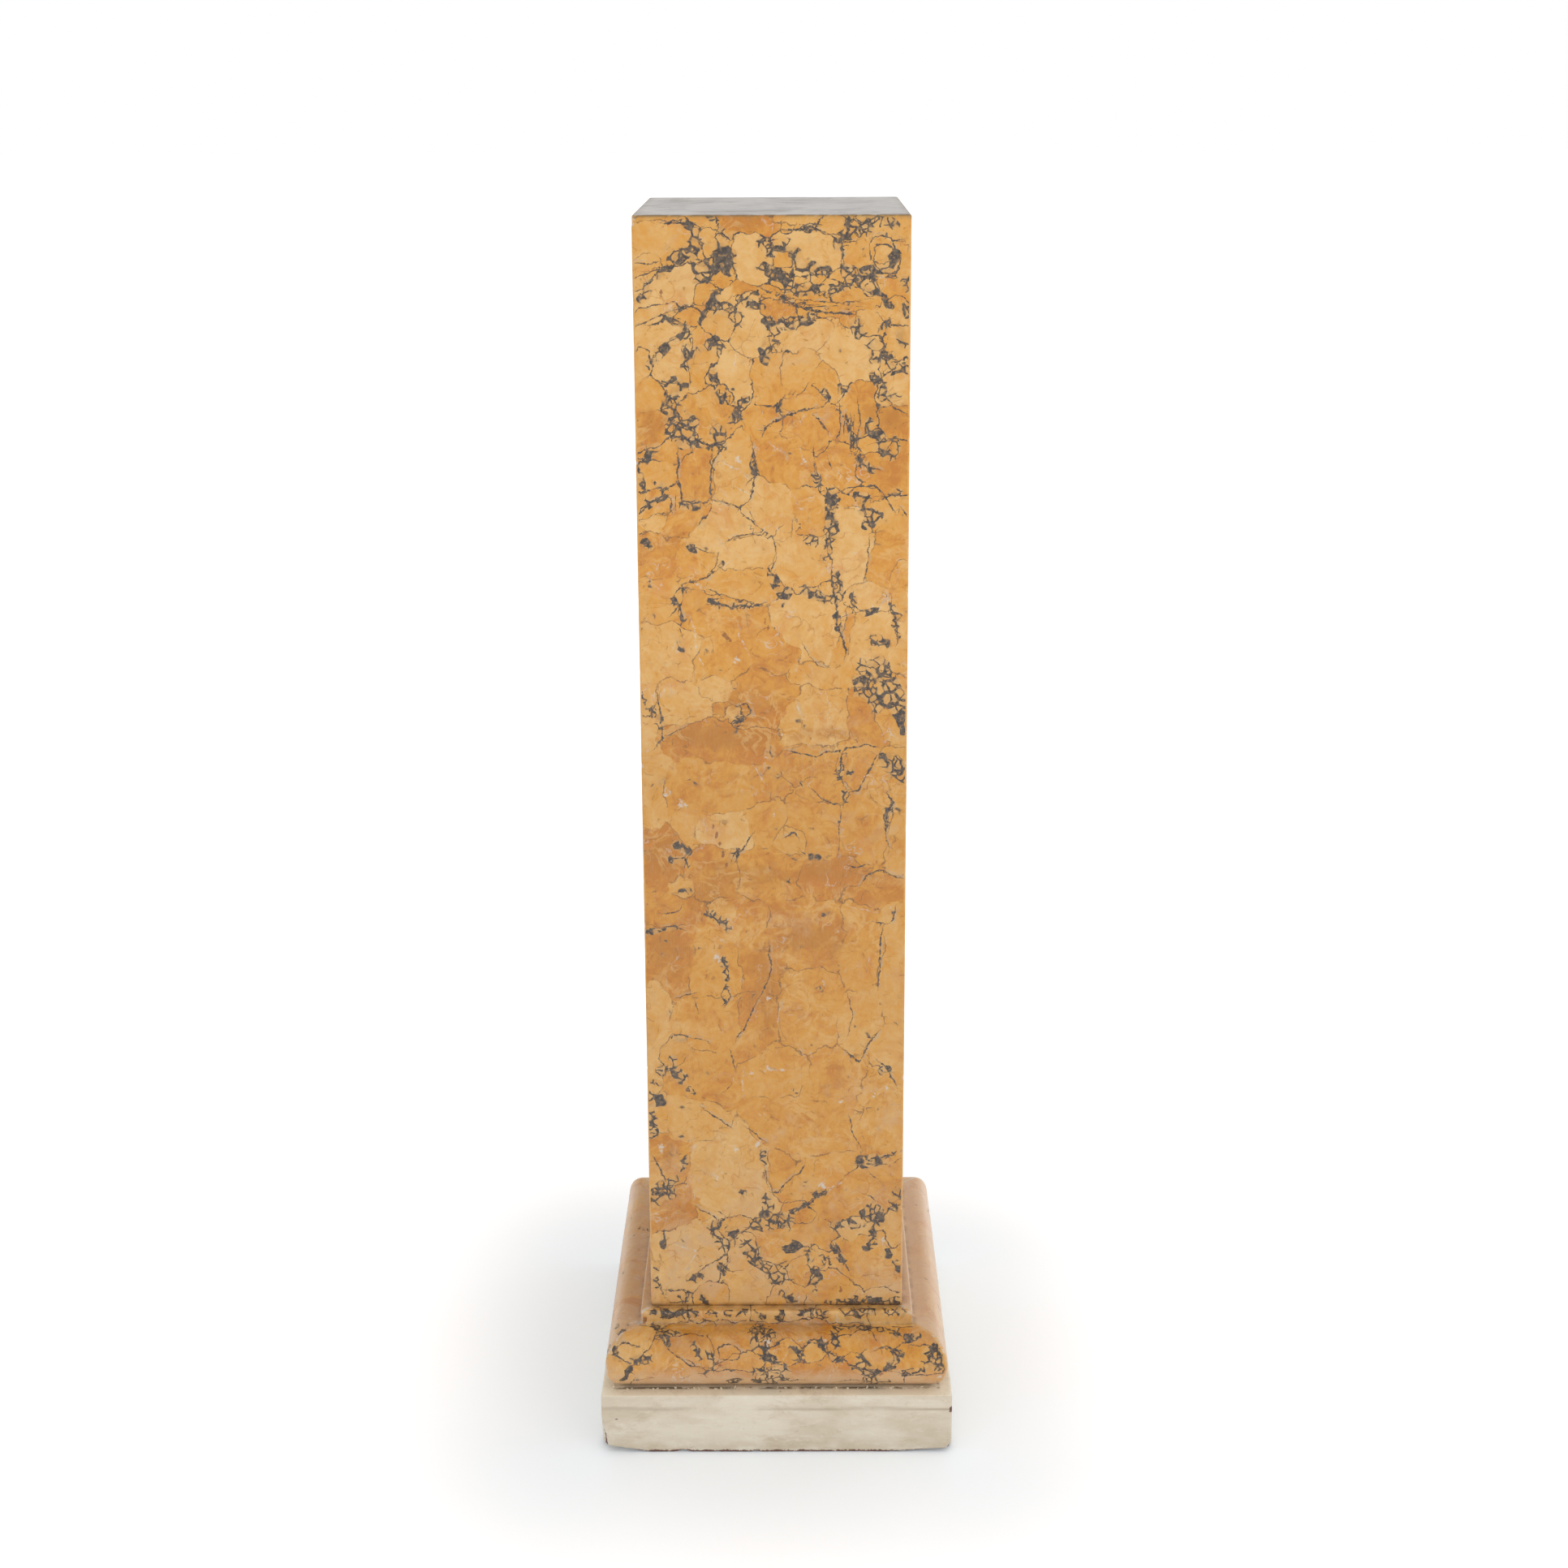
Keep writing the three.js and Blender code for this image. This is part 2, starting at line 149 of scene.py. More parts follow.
# Runs of dark pebbly matrix on the shaft's front: width, then places (across, up) along the run
FRONT_MATRIX = [
    (5, (-82, 1060), (-68, 1057), (-66, 1042)), (10, (-66, 1042), (-74, 1036), (-86, 1028)),
    (7, (-86, 1028), (-92, 1020), (-102, 1014)), (4, (-110, 1009), (-116, 1000)),
    (5, (-119, 994), (-110, 998)), (4, (-57, 1067), (-46, 1055), (-38, 1050)),
    (12, (-42, 1044), (-47, 1032), (-54, 1024)), (8, (-55, 1022), (-60, 1013)),
    (10, (-40, 1032), (-38, 1020)), (6, (-70, 1026), (-66, 1016)), (4, (-70, 1009), (-57, 1010)),
    (8, (-8, 1042), (0, 1034), (8, 1036), (13, 1042)), (9, (20, 1032), (28, 1022), (34, 1018)),
    (8, (-6, 1020), (6, 1016), (16, 1006)), (7, (34, 1013), (44, 1017), (50, 1018)),
    (7, (16, 1004), (28, 1001), (42, 1002)), (8, (56, 1001), (66, 1004), (72, 1012)),
    (8, (66, 1020), (80, 1014), (90, 1006)), (7, (82, 1018), (100, 1020), (110, 1032)),
    (6, (88, 1002), (100, 995), (106, 986)), (9, (62, 1046), (70, 1052), (82, 1052)),
    (7, (66, 1064), (76, 1056), (92, 1062), (108, 1060)), (4, (30, 1056), (40, 1054)),
    (7, (120, 1008), (124, 1000)), (7, (121, 985), (124, 978)), (4, (22, 997), (40, 999)),
    (4, (-88, 983), (-76, 986)), (6, (-95, 975), (-82, 972), (-76, 966)), (4, (-60, 980), (-64, 972)),
    (6, (-50, 997), (-54, 987), (-44, 984)), (10, (-40, 984), (-30, 976)), (6, (-24, 990), (-10, 986)),
    (10, (-4, 972), (2, 964), (-2, 954)), (8, (-3, 952), (-6, 940)),
    (8, (10, 972), (24, 971), (36, 977)), (8, (75, 970), (82, 960)),
    (9, (88, 953), (98, 950), (104, 940)), (8, (94, 942), (104, 938)), (7, (110, 930), (122, 930)),
    (6, (118, 958), (123, 950)), (6, (92, 924), (98, 914), (102, 904)), (6, (100, 964), (104, 972)),
    (7, (-96, 950), (-102, 942), (-110, 934)), (4, (-80, 962), (-90, 956)), (7, (-78, 948), (-78, 934)),
    (7, (-56, 952), (-50, 956), (-48, 948)), (10, (-94, 918), (-82, 918)),
    (12, (-92, 908), (-94, 896), (-86, 886)), (12, (-92, 880), (-82, 870), (-76, 878)),
    (5, (-56, 926), (-48, 914), (-46, 902)), (6, (-26, 902), (-31, 890), (-38, 880)),
    (8, (-48, 874), (-47, 862)), (5, (-104, 862), (-116, 850)), (5, (-80, 862), (-66, 864)),
    (4, (4, 898), (6, 888)), (5, (60, 914), (66, 910)), (5, (46, 910), (52, 902)),
    (5, (70, 888), (72, 868)), (4, (88, 884), (88, 868)), (7, (90, 872), (100, 869)),
    (8, (98, 858), (108, 850)), (4, (112, 868), (114, 856)), (5, (78, 846), (92, 838)),
    (7, (-123, 835), (-119, 826)), (5, (-106, 826), (-100, 820)), (4, (-120, 802), (-98, 816)),
    (9, (-80, 808), (-72, 806)), (8, (-118, 772), (-112, 768)), (4, (-18, 846), (-15, 834)),
    (5, (39, 834), (43, 824)), (8, (54, 818), (55, 808)), (9, (76, 814), (86, 812)),
    (6, (110, 816), (114, 818)), (8, (84, 800), (94, 796), (86, 788)), (9, (54, 798), (52, 782)),
    (9, (52, 770), (50, 760)), (7, (32, 774), (40, 773)), (6, (-1, 740), (2, 730)),
    (5, (6, 722), (14, 726)), (8, (58, 738), (60, 724), (54, 716)),
    (7, (50, 716), (40, 722), (28, 726)), (5, (86, 706), (94, 706)), (4, (72, 720), (76, 712)),
    (5, (58, 702), (61, 690)), (5, (112, 708), (116, 680)), (8, (92, 678), (104, 678)),
    (14, (84, 650), (84, 634), (98, 624)), (15, (100, 652), (106, 640), (116, 624)),
    (12, (112, 618), (122, 610)), (5, (118, 604), (121, 590)), (5, (-76, 768), (-72, 764)),
    (5, (-50, 748), (-46, 752)), (4, (-116, 738), (-112, 728)), (4, (-58, 716), (-50, 712)),
    (4, (-40, 712), (-20, 712)), (5, (-92, 718), (-84, 700)), (4, (-36, 602), (-28, 603)),
    (3, (-124, 628), (-104, 600)), (14, (108, 560), (120, 550)), (5, (66, 532), (68, 524)),
    (4, (62, 556), (62, 546)), (5, (105, 512), (106, 500)), (7, (-92, 480), (-80, 474)),
    (6, (-98, 466), (-84, 462)), (5, (-36, 474), (-40, 464)), (5, (-88, 432), (-82, 434)),
    (6, (-62, 412), (-54, 406), (-44, 396)), (4, (-94, 398), (-124, 392)), (4, (-50, 366), (-46, 346)),
    (5, (-100, 286), (-88, 284)), (7, (-101, 263), (-99, 262)),
    (9, (-110, 250), (-98, 252), (-92, 244)), (4, (-122, 240), (-108, 236)),
    (9, (-122, 224), (-112, 218)), (10, (-124, 206), (-120, 196), (-122, 188)),
    (6, (104, 250), (110, 252)), (4, (-85, 230), (-80, 226)), (5, (-14, 164), (-12, 154)),
    (5, (-88, 160), (-94, 146)), (6, (-98, 138), (-106, 132)),
    (12, (-116, 126), (-106, 124), (-120, 116)), (8, (84, 156), (100, 156)),
    (4, (104, 158), (114, 163)), (9, (-10, 116), (-8, 104), (-14, 96)),
    (12, (-18, 88), (-4, 92), (8, 92)), (5, (12, 98), (28, 108)), (6, (40, 118), (48, 124)),
    (10, (90, 96), (96, 102), (100, 92)), (8, (58, 86), (64, 86)), (6, (72, 92), (78, 86)),
    (5, (114, 112), (118, 104)), (7, (118, 122), (122, 118)), (5, (96, 82), (96, 66), (88, 62)),
    (7, (-64, 86), (-54, 88)), (7, (-62, 78), (-54, 64), (-44, 70)), (6, (-40, 80), (-44, 66)),
    (11, (-30, 66), (-24, 58), (-20, 48)), (10, (-14, 42), (2, 34), (-2, 28)), (7, (6, 42), (12, 44)),
    (8, (12, 62), (20, 66)), (5, (30, 60), (34, 50)), (4, (44, 56), (48, 44)),
    (7, (42, 34), (36, 20), (38, 12)), (5, (58, 64), (66, 48)), (8, (-84, 28), (-76, 30)),
    (6, (-118, 44), (-120, 32), (-120, 22)), (4, (-112, 78), (-112, 64)), (7, (8, 12), (16, 6)),
    (5, (-56, 44), (-52, 34)), (6, (78, 8), (82, 4)), (6, (50, 3), (82, 4), (122, 3)),
    (5, (-86, 14), (-92, 4)), (4, (-76, 8), (-70, 2)), (6, (118, 46), (122, 42)),
    (5, (110, 58), (112, 54)),
]

# Thin veins on the shaft's front: width, then places along the vein. A minus width is a whitish wisp.
FRONT_VEINS = [
    (2.5, (-98, 1060), (-82, 1061), (-66, 1055)), (2, (10, 1054), (28, 1054), (34, 1057), (50, 1050)),
    (2, (50, 1050), (64, 1043), (76, 1044)), (2, (62, 1042), (63, 1032), (62, 1026)),
    (1.5, (86, 1038), (90, 1047), (98, 1049), (107, 1046), (109, 1036), (106, 1026), (98, 1023)),
    (1.2, (98, 1023), (89, 1027), (86, 1038)), (1.4, (-124, 1026), (-110, 1024), (-98, 1026)),
    (2.5, (-10, 1002), (2, 998), (10, 990), (22, 986), (35, 983), (48, 980), (60, 981), (76, 978)),
    (1.2, (2, 1000), (20, 993), (40, 990), (60, 990)), (1.4, (-124, 967), (-108, 975), (-91, 982)),
    (2, (-88, 983), (-78, 986), (-70, 986), (-60, 980)), (2, (103, 904), (110, 895), (124, 888)),
    (2.5, (-10, 868), (-6, 878), (6, 884), (14, 888), (26, 892), (38, 896)),
    (2.5, (36, 890), (44, 882), (50, 874)), (2, (66, 892), (72, 876), (72, 866), (70, 855)),
    (1.6, (78, 900), (80, 880), (76, 862), (84, 850)), (1.5, (60, 900), (62, 880), (58, 862)),
    (2.5, (-124, 797), (-112, 808), (-98, 817), (-94, 812), (-93, 800)),
    (2, (-86, 858), (-87, 840), (-85, 822), (-83, 806)),
    (2.5, (-44, 860), (-54, 848), (-57, 835), (-56, 810)),
    (2, (-18, 860), (-16, 848), (-14, 838), (-17, 830), (-18, 818), (-22, 810)),
    (1.8, (-22, 810), (-30, 804), (-38, 806), (-46, 810)),
    (1.5, (-30, 800), (-12, 784), (0, 775), (3, 757)), (1.5, (3, 757), (-2, 742)),
    (1.5, (-44, 772), (-36, 776), (-20, 780), (0, 774)),
    (1.6, (-50, 746), (-60, 740), (-72, 735), (-82, 734), (-92, 722)),
    (1.4, (-92, 722), (-84, 702), (-86, 690), (-84, 682)), (2.5, (-60, 728), (-48, 722)),
    (3, (-60, 714), (-52, 714), (-40, 710), (-30, 712), (-18, 711), (-10, 714)),
    (1.5, (38, 860), (38, 845), (40, 832)), (2.5, (50, 848), (53, 840)),
    (2, (58, 822), (68, 815), (75, 822)), (2, (75, 822), (92, 824), (100, 818), (112, 798)),
    (3, (72, 855), (84, 842), (98, 838)), (3, (118, 802), (124, 794)), (2.5, (18, 790), (16, 778)),
    (2, (74, 724), (72, 716), (78, 708), (86, 706)), (3, (66, 702), (74, 705)),
    (2.2, (104, 722), (112, 704), (114, 692), (116, 680), (114, 674)),
    (2.5, (58, 716), (58, 702), (60, 692), (64, 680), (68, 668), (66, 662)),
    (1.2, (26, 676), (32, 666), (40, 656), (50, 652)), (1.2, (88, 775), (88, 758), (84, 732)),
    (1.8, (12, 573), (25, 570), (40, 566), (48, 571), (60, 572), (85, 578), (98, 576)),
    (2, (62, 571), (63, 560), (61, 550), (67, 538)),
    (1.5, (98, 571), (92, 558), (85, 545), (80, 533), (70, 532)),
    (1.2, (35, 536), (44, 526), (55, 521), (64, 522)),
    (3, (107, 530), (112, 522), (106, 510), (105, 490)), (2, (105, 490), (108, 478)),
    (1, (63, 515), (62, 500), (61, 470)),
    (1.5, (-108, 625), (-106, 612), (-105, 598), (-104, 585), (-112, 576)),
    (1, (-104, 585), (-80, 598)),
    (1.6, (-40, 618), (-34, 615), (-26, 620), (-20, 608), (-30, 604), (-36, 602)),
    (2.5, (-20, 492), (-30, 476), (-38, 472), (-40, 465)), (2.5, (10, 488), (18, 493), (22, 487)),
    (2.5, (24, 475), (30, 470)), (1.4, (82, 440), (88, 450), (100, 455), (122, 446)),
    (2, (70, 459), (78, 457), (90, 460)), (1.5, (-108, 411), (-92, 414), (-88, 420)),
    (1.8, (-124, 393), (-115, 397), (-100, 399), (-88, 396)),
    (2, (116, 418), (113, 405), (108, 401), (96, 402)),
    (1.6, (103, 398), (101, 380), (101, 362), (99, 335)),
    (1.5, (-6, 380), (-4, 350), (-12, 332), (-18, 322)), (1.5, (-18, 322), (-28, 298), (-40, 280)),
    (2, (-43, 270), (-40, 252)), (2, (-53, 328), (-48, 337), (-43, 328), (-48, 320), (-53, 328)),
    (1.5, (-94, 325), (-84, 330), (-76, 331)), (2.5, (-78, 322), (-75, 313)),
    (1.4, (-84, 284), (-74, 285), (-66, 280)),
    (2.2, (100, 290), (92, 282), (87, 274), (84, 262), (80, 258), (68, 272)),
    (2, (98, 262), (106, 256), (110, 250), (118, 232)), (1.2, (70, 330), (75, 308), (70, 285)),
    (2, (-50, 229), (-42, 238)), (1.5, (-72, 212), (-60, 203), (-42, 190)),
    (1.6, (-30, 191), (-10, 177)), (1.8, (-122, 162), (-116, 152), (-108, 132)),
    (1.7, (-11, 150), (-8, 128)), (1.8, (-8, 123), (2, 122), (8, 130), (24, 144), (28, 153)),
    (2.6, (15, 99), (24, 106), (34, 110), (46, 122), (54, 124)), (2, (100, 157), (114, 163)),
    (3, (92, 142), (98, 138)), (1.5, (72, 203), (74, 187), (82, 173)), (2.5, (88, 120), (98, 113)),
    (2, (56, 68), (62, 60), (66, 50), (74, 34)), (2.5, (-80, 108), (-62, 96), (-58, 92)),
    (2, (-62, 78), (-52, 65), (-50, 55), (-68, 44), (-82, 32)), (2.5, (-18, 50), (-6, 34)),
    (2.5, (20, 67), (38, 60)), (3, (-112, 16), (-90, 16), (-86, 11), (-94, 0)),
    (-2, (-33, 946), (-35, 928)), (-2.5, (-10, 893), (-5, 880)), (-2.5, (0, 862), (8, 856), (12, 849)),
    (-2.5, (-45, 845), (-30, 838), (-22, 830)), (-2, (-34, 823), (-20, 815)),
    (-2, (25, 858), (29, 845)), (-2.5, (98, 706), (104, 716), (112, 718)), (-2, (-76, 737), (-64, 726)),
    (-2, (-45, 748), (-35, 757)), (-2.5, (-78, 700), (-74, 690), (-72, 672), (-66, 655)),
    (-2, (-34, 695), (-30, 680), (-22, 665)), (-1.5, (5, 320), (2, 298)), (-2, (-32, 250), (-32, 225)),
    (-1.5, (20, 280), (30, 260)), (-2, (-8, 252), (15, 251)), (-2, (44, 130), (54, 126), (70, 136)),
    (-2, (-100, 66), (-78, 58), (-90, 40)), (-2, (75, 418), (95, 412)), (-2, (-20, 560), (-8, 540)),
    (-2, (20, 620), (26, 606)),
]

# White chips of plaster on the shaft's front: across, up, radius
FRONT_CHALK = [
    (-86, 520, 6), (-101, 532, 5), (-1, 508, 4), (49, 342, 4), (-5, 326, 3), (-112, 170, 5),
    (-58, 140, 5), (106, 70, 4), (96, 226, 4), (108, 232, 3), (-18, 174, 4), (-38, 168, 4),
    (-25, 246, 3), (-32, 228, 3), (46, 130, 5), (-50, 802, 2), (-34, 660, 4), (28, 846, 3),
    (-55, 366, 5), (62, 216, 3), (-8, 252, 4), (-30, 848, 4), (5, 588, 3), (90, 132, 3),
]

# Brown, cloudy stretches of the shaft's front: across, up, half width, half height
FRONT_CLOUDS = [
    (-20, 620, 40, 26), (-50, 585, 75, 16), (50, 588, 60, 8), (-108, 470, 26, 26), (60, 455, 56, 16),
    (-20, 450, 70, 14), (-102, 370, 26, 46), (-10, 330, 24, 60), (30, 385, 50, 22), (100, 885, 30, 24),
    (-112, 878, 16, 20), (-104, 100, 22, 24), (-104, 160, 16, 22), (-22, 1058, 22, 12),
    (-60, 430, 30, 16),
]

# The front of the base moulding, in millimetres across and up along its section from the joint
BASE_CLASTS = [
    (-145, 66, 22, 16, -10, 0.35), (-158, 34, 14, 18, 0, 0.6), (-110, 40, 26, 22, 0, 0.72),
    (-95, 18, 36, 12, 0, 0.78), (-80, 84, 18, 9, 0, 0.6), (-84, 60, 22, 14, 0, 0.76),
    (-45, 70, 24, 18, 10, 0.78), (-36, 48, 16, 11, 12, 0.66), (-50, 20, 24, 14, 0, 0.8),
    (-18, 78, 8, 8, 0, 0.62), (24, 78, 34, 14, 0, 0.86), (36, 56, 9, 9, 0, 0.5),
    (10, 60, 12, 10, 0, 0.7), (50, 30, 38, 16, 0, 0.86), (20, 14, 24, 10, 0, 0.8),
    (78, 62, 18, 10, 0, 0.66), (90, 52, 20, 9, 0, 0.6), (116, 68, 14, 12, 0, 0.72),
    (134, 46, 18, 16, 0, 0.74), (140, 74, 18, 10, 0, 0.78), (106, 20, 18, 12, 0, 0.7),
    (142, 20, 22, 12, 0, 0.76), (-6, 26, 9, 7, 0, 0.35), (-60, 104, 40, 8, 0, 0.25),
    (-110, 104, 30, 8, 0, 0.2), (0, 104, 30, 8, 0, 0.3), (70, 104, 24, 8, 0, 0.2),
    (115, 104, 22, 8, 0, 0.25),
]
BASE_MATRIX = [
    (7, (-116, 84), (-106, 76), (-98, 78)), (5, (-124, 92), (-112, 80)), (6, (-110, 74), (-106, 64)),
    (7, (-142, 46), (-126, 50)), (4, (-152, 24), (-144, 40)), (8, (-80, 62), (-76, 54)),
    (5, (-66, 56), (-63, 38)), (9, (-24, 84), (-12, 86), (-6, 74)), (7, (-24, 76), (-22, 62)),
    (8, (-14, 56), (2, 44)), (13, (-18, 38), (-4, 28), (6, 36)), (8, (-20, 22), (-4, 16)),
    (8, (-44, 20), (-36, 20)), (8, (14, 58), (22, 52)), (6, (44, 66), (56, 50), (64, 48)),
    (8, (60, 86), (72, 88), (84, 84)), (7, (92, 86), (104, 82)), (6, (56, 78), (60, 62)),
    (12, (82, 44), (92, 36), (98, 20)), (9, (100, 14), (108, 18)), (8, (112, 40), (120, 56)),
    (6, (112, 80), (118, 74)), (6, (130, 70), (140, 74)), (12, (148, 52), (156, 44)),
    (6, (126, 34), (146, 38)), (8, (158, 60), (162, 50)), (4, (-162, 72), (-158, 50)),
    (4, (-70, 108), (-58, 102)), (4, (-22, 108), (-14, 100)), (5, (38, 108), (46, 100)),
    (5, (64, 108), (72, 100)), (5, (-96, 100), (-84, 104)), (4, (84, 104), (100, 108)),
    (9, (-122, 106), (-104, 105), (-82, 106)), (7, (20, 106), (48, 105)),
    (8, (72, 105), (104, 106), (126, 105)), (6, (2, 98), (6, 106)), (7, (-48, 105), (-34, 106)),
]
BASE_VEINS = [
    (1.6, (-56, 50), (-58, 60), (-46, 66), (-34, 58), (-38, 48), (-56, 50)),
    (1.6, (-164, 60), (-150, 66), (-130, 60)), (2, (20, 56), (32, 66), (46, 64)),
    (1.6, (-22, 82), (-26, 74), (-18, 68), (-10, 74), (-14, 84)), (1.8, (96, 58), (108, 62), (126, 56)),
    (1.6, (-96, 52), (-88, 44), (-70, 40)), (1.8, (60, 20), (74, 24), (84, 20)),
    (-2.5, (-12, 68), (-8, 58), (-12, 50)), (-2, (18, 66), (28, 70)), (-2, (-140, 58), (-130, 66)),
]
BASE_CHALK = [
    (-8, 66, 6), (-11, 60, 4), (16, 66, 3), (48, 68, 3), (22, 46, 2), (120, 84, 2), (160, 30, 3),
]
BASE_CLOUDS = [(20, 80, 40, 12), (-60, 30, 60, 24), (60, 26, 50, 20), (-90, 70, 40, 20)]

# Brown gashes and streaks on both fronts: width, then places, as for the veins
FRONT_GASHES = [
    (3.0, (-47, 687), (-42, 679)), (1.6, (-58, 500), (-51, 478), (-44, 456)), (2.0, (62, 20), (64, 14)),
    (1.6, (-8, 700), (-5, 690)), (1.6, (-100, 1002), (-97, 990)),
]
BASE_GASHES = [(4.0, (-133, 96), (-131, 99)), (3.0, (96, 30), (104, 33)), (2.4, (-60, 46), (-54, 43))]


def named(settings):
    """The scene's settings of one kind."""
    return getattr(bpy.context.scene, settings)


def linear(colour):
    """A colour picked as screen values from 0 to 255, in the renderer's linear scale."""
    shares = [c / 255 for c in colour]
    return tuple(c / 12.92 if c <= 0.04045 else ((c + 0.055) / 1.055) ** 2.4 for c in shares)


# Settings


def length_setting(name, description, default):
    """A size in metres that the panel shows."""
    return bpy.props.FloatProperty(
        name=name, description=description, default=default, min=0.0, unit="LENGTH", precision=5,
    )


def colour_setting(name, description, screen_colour):
    """A colour that the panel shows, given by its screen values."""
    return bpy.props.FloatVectorProperty(
        name=name, description=description, default=linear(screen_colour), size=3, subtype="COLOR",
        min=0.0, max=1.0,
    )


class ColumnSizes(bpy.types.PropertyGroup):
    """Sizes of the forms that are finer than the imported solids."""

    shaft_arris: length_setting("Shaft arris", "Radius of the shaft's upright arrises", 2.0 * MM)
    shaft_top_arris: length_setting("Top arris", "Radius round the shaft's top", 2.5 * MM)
    shaft_foot_ease: length_setting("Foot ease", "Small chamfer round the shaft's foot", 1.2 * MM)
    fillet_height: length_setting("Fillet height", "Height of the fillet under the shaft", 13.0 * MM)
    fillet_projection: length_setting("Fillet projection", "How far the fillet stands out", 10.0 * MM)
    fillet_arris: length_setting("Fillet arris", "Radius of the fillet's upper arris", 2.0 * MM)
    fillet_cove: length_setting("Fillet cove", "Radius of the cove at the fillet's foot", 2.5 * MM)
    torus_bulge: length_setting("Torus bulge", "How far the torus swells out", 20.0 * MM)
    mitre_radius: length_setting("Mitre radius", "Softened corner along the mitres", 3.0 * MM)
    plinth_arris: length_setting("Plinth arris", "Radius of the plinth's long arrises", 1.8 * MM)
    plinth_corner: length_setting("Plinth corner", "Radius of the plinth's upright corners", 2.0 * MM)
    crumb: length_setting("Crumb size", "Size of the filler crumbs along the joint", 1.9 * MM)
    front_pitch: length_setting("Front mesh pitch", "Mesh pitch on the front face", 3.0 * MM)
    side_pitch: length_setting("Side mesh pitch", "Mesh pitch across the other faces", 5.0 * MM)


class ColumnColours(bpy.types.PropertyGroup):
    """Colours of the finishes, as they look in even white light."""

    pale: colour_setting("Pale clast", "Palest honey clasts", (218, 174, 109))
    honey: colour_setting("Honey clast", "Common honey clasts", (212, 160, 85))
    ochre: colour_setting("Ochre clast", "Orange ochre clasts", (208, 146, 55))
    deep: colour_setting("Deep ochre", "Deepest, brownish clasts", (190, 120, 38))
    cloud: colour_setting("Brown cloud", "Brown staining of the middle of the shaft", (181, 117, 36))
    dust: colour_setting("Dusty beige", "Dull beige stains and wear", (203, 163, 118))
    # Also laid as painted light: a duller lower shaft, and a paler low front and duller sides on the base
    matrix: colour_setting("Matrix", "Dark grey matrix and veins", (98, 84, 70))
    matrix_deep: colour_setting("Deep matrix", "Darkest matrix", (62, 55, 52))
    chalk: colour_setting("Chalk", "White chips and wisps", (206, 198, 184))
    grey_paint: colour_setting("Grey paint", "Paint on the top", (190, 186, 183))
    cream_paint: colour_setting("Cream paint", "Paint on the plinth", (223, 212, 193))
    # Also laid as painted shade on the ledge under the torus
    cream_dirt: colour_setting("Plinth dirt", "Beige dirt in the plinth's paint", (186, 168, 138))
    primer: colour_setting("Primer", "Red-brown primer where the paint is worn off", (128, 74, 58))
    floor: colour_setting("Floor", "Studio floor", (248, 248, 248))


# Mesh helpers


def arc(centre_half, centre_up, across, up, start, end, steps):
    """Points of a round stretch in a section, as (half width, height)."""
    turns = [math.radians(start + (end - start) * i / steps) for i in range(steps + 1)]
    return [(centre_half + across * math.cos(t), centre_up + up * math.sin(t)) for t in turns]


def finely(section, pitch):
    """A section with its straight stretches cut to the mesh pitch."""
    fine = [section[0]]
    for here, there in zip(section, section[1:]):
        count = max(1, round(math.dist(here, there) / pitch))
        for i in range(1, count + 1):
            share = i / count
            fine.append(tuple(a + (b - a) * share for a, b in zip(here, there)))
    return fine


class SquareRun:
    """A section run round a square, as the mitred solids are, with each vertex's place on its face."""

    CORNER_STEPS = 4

    def __init__(self, section, corner, front_pitch, side_pitch):
        self.section = section
        half = max(point[0] for point in section)
        columns = []
        for face in (RIGHT, BACK, LEFT, FRONT):
            count = round(2 * half / (front_pitch if face == FRONT else side_pitch))
            columns += [(face, -1 + 2 * i / count) for i in range(count + 1)]
            turns = [face + (i + 0.5) / self.CORNER_STEPS for i in range(self.CORNER_STEPS - 1)]
            columns += [(ARRIS, turn) for turn in turns]
        self.columns = columns
        steps = [0.0]
        for here, there in zip(section, section[1:]):
            steps.append(steps[-1] + math.dist(here, there))
        self.along = np.repeat(np.array(steps), len(columns))
        self.face = np.tile(np.array([c[0] for c in columns]), len(section))
        self.places = np.array([self._place(p, c, corner) for p in section for c in columns])
        self.across = self._across()

    @staticmethod
    def _place(point, column, corner):
        """Where a point of the section lies on a column of the run."""
        half, up = point
        radius = min(corner, half)
        face, share = column
        if face == ARRIS:
            turn = share * math.pi / 2
            diagonal = (math.floor(share) + 0.5) * math.pi / 2
            x = math.copysign(half - radius, math.cos(diagonal)) + radius * math.cos(turn)
            y = math.copysign(half - radius, math.sin(diagonal)) + radius * math.sin(turn)
            return (x, y, up)
        turn = face * math.pi / 2
        side = share * (half - radius)
        x = half * math.cos(turn) - side * math.sin(turn)
        y = half * math.sin(turn) + side * math.cos(turn)
        return (x, y, up)

    def _across(self):
        """Distance from the middle of the face, to the right as one looks at it."""
        x, y = self.places[:, 0], self.places[:, 1]
        across = np.zeros(len(x))
        for face, value in ((RIGHT, y), (BACK, -x), (LEFT, -y), (FRONT, x)):
            across = np.where(self.face == face, value, across)
        return across

    def mesh(self, name):
        """The run as a closed mesh: quads between the section's rings, and a centre at each end."""
        around = len(self.columns)
        last = (len(self.section) - 1) * around
        vertices = [tuple(p) for p in self.places]
        foot = len(vertices)
        top = foot + 1
        vertices += [(0.0, 0.0, self.section[0][1]), (0.0, 0.0, self.section[-1][1])]
        pairs = [(i, (i + 1) % around) for i in range(around)]
        faces = []
        for low in range(0, last, around):
            faces += [(low + i, low + j, low + around + j, low + around + i) for i, j in pairs]
        faces += [(foot, j, i) for i, j in pairs]
        faces += [(top, last + i, last + j) for i, j in pairs]
        mesh = bpy.data.meshes.new(name)
        mesh.from_pydata(vertices, [], faces)
        mesh.polygons.foreach_set("use_smooth", [True] * len(mesh.polygons))
        mesh.update()
        return mesh


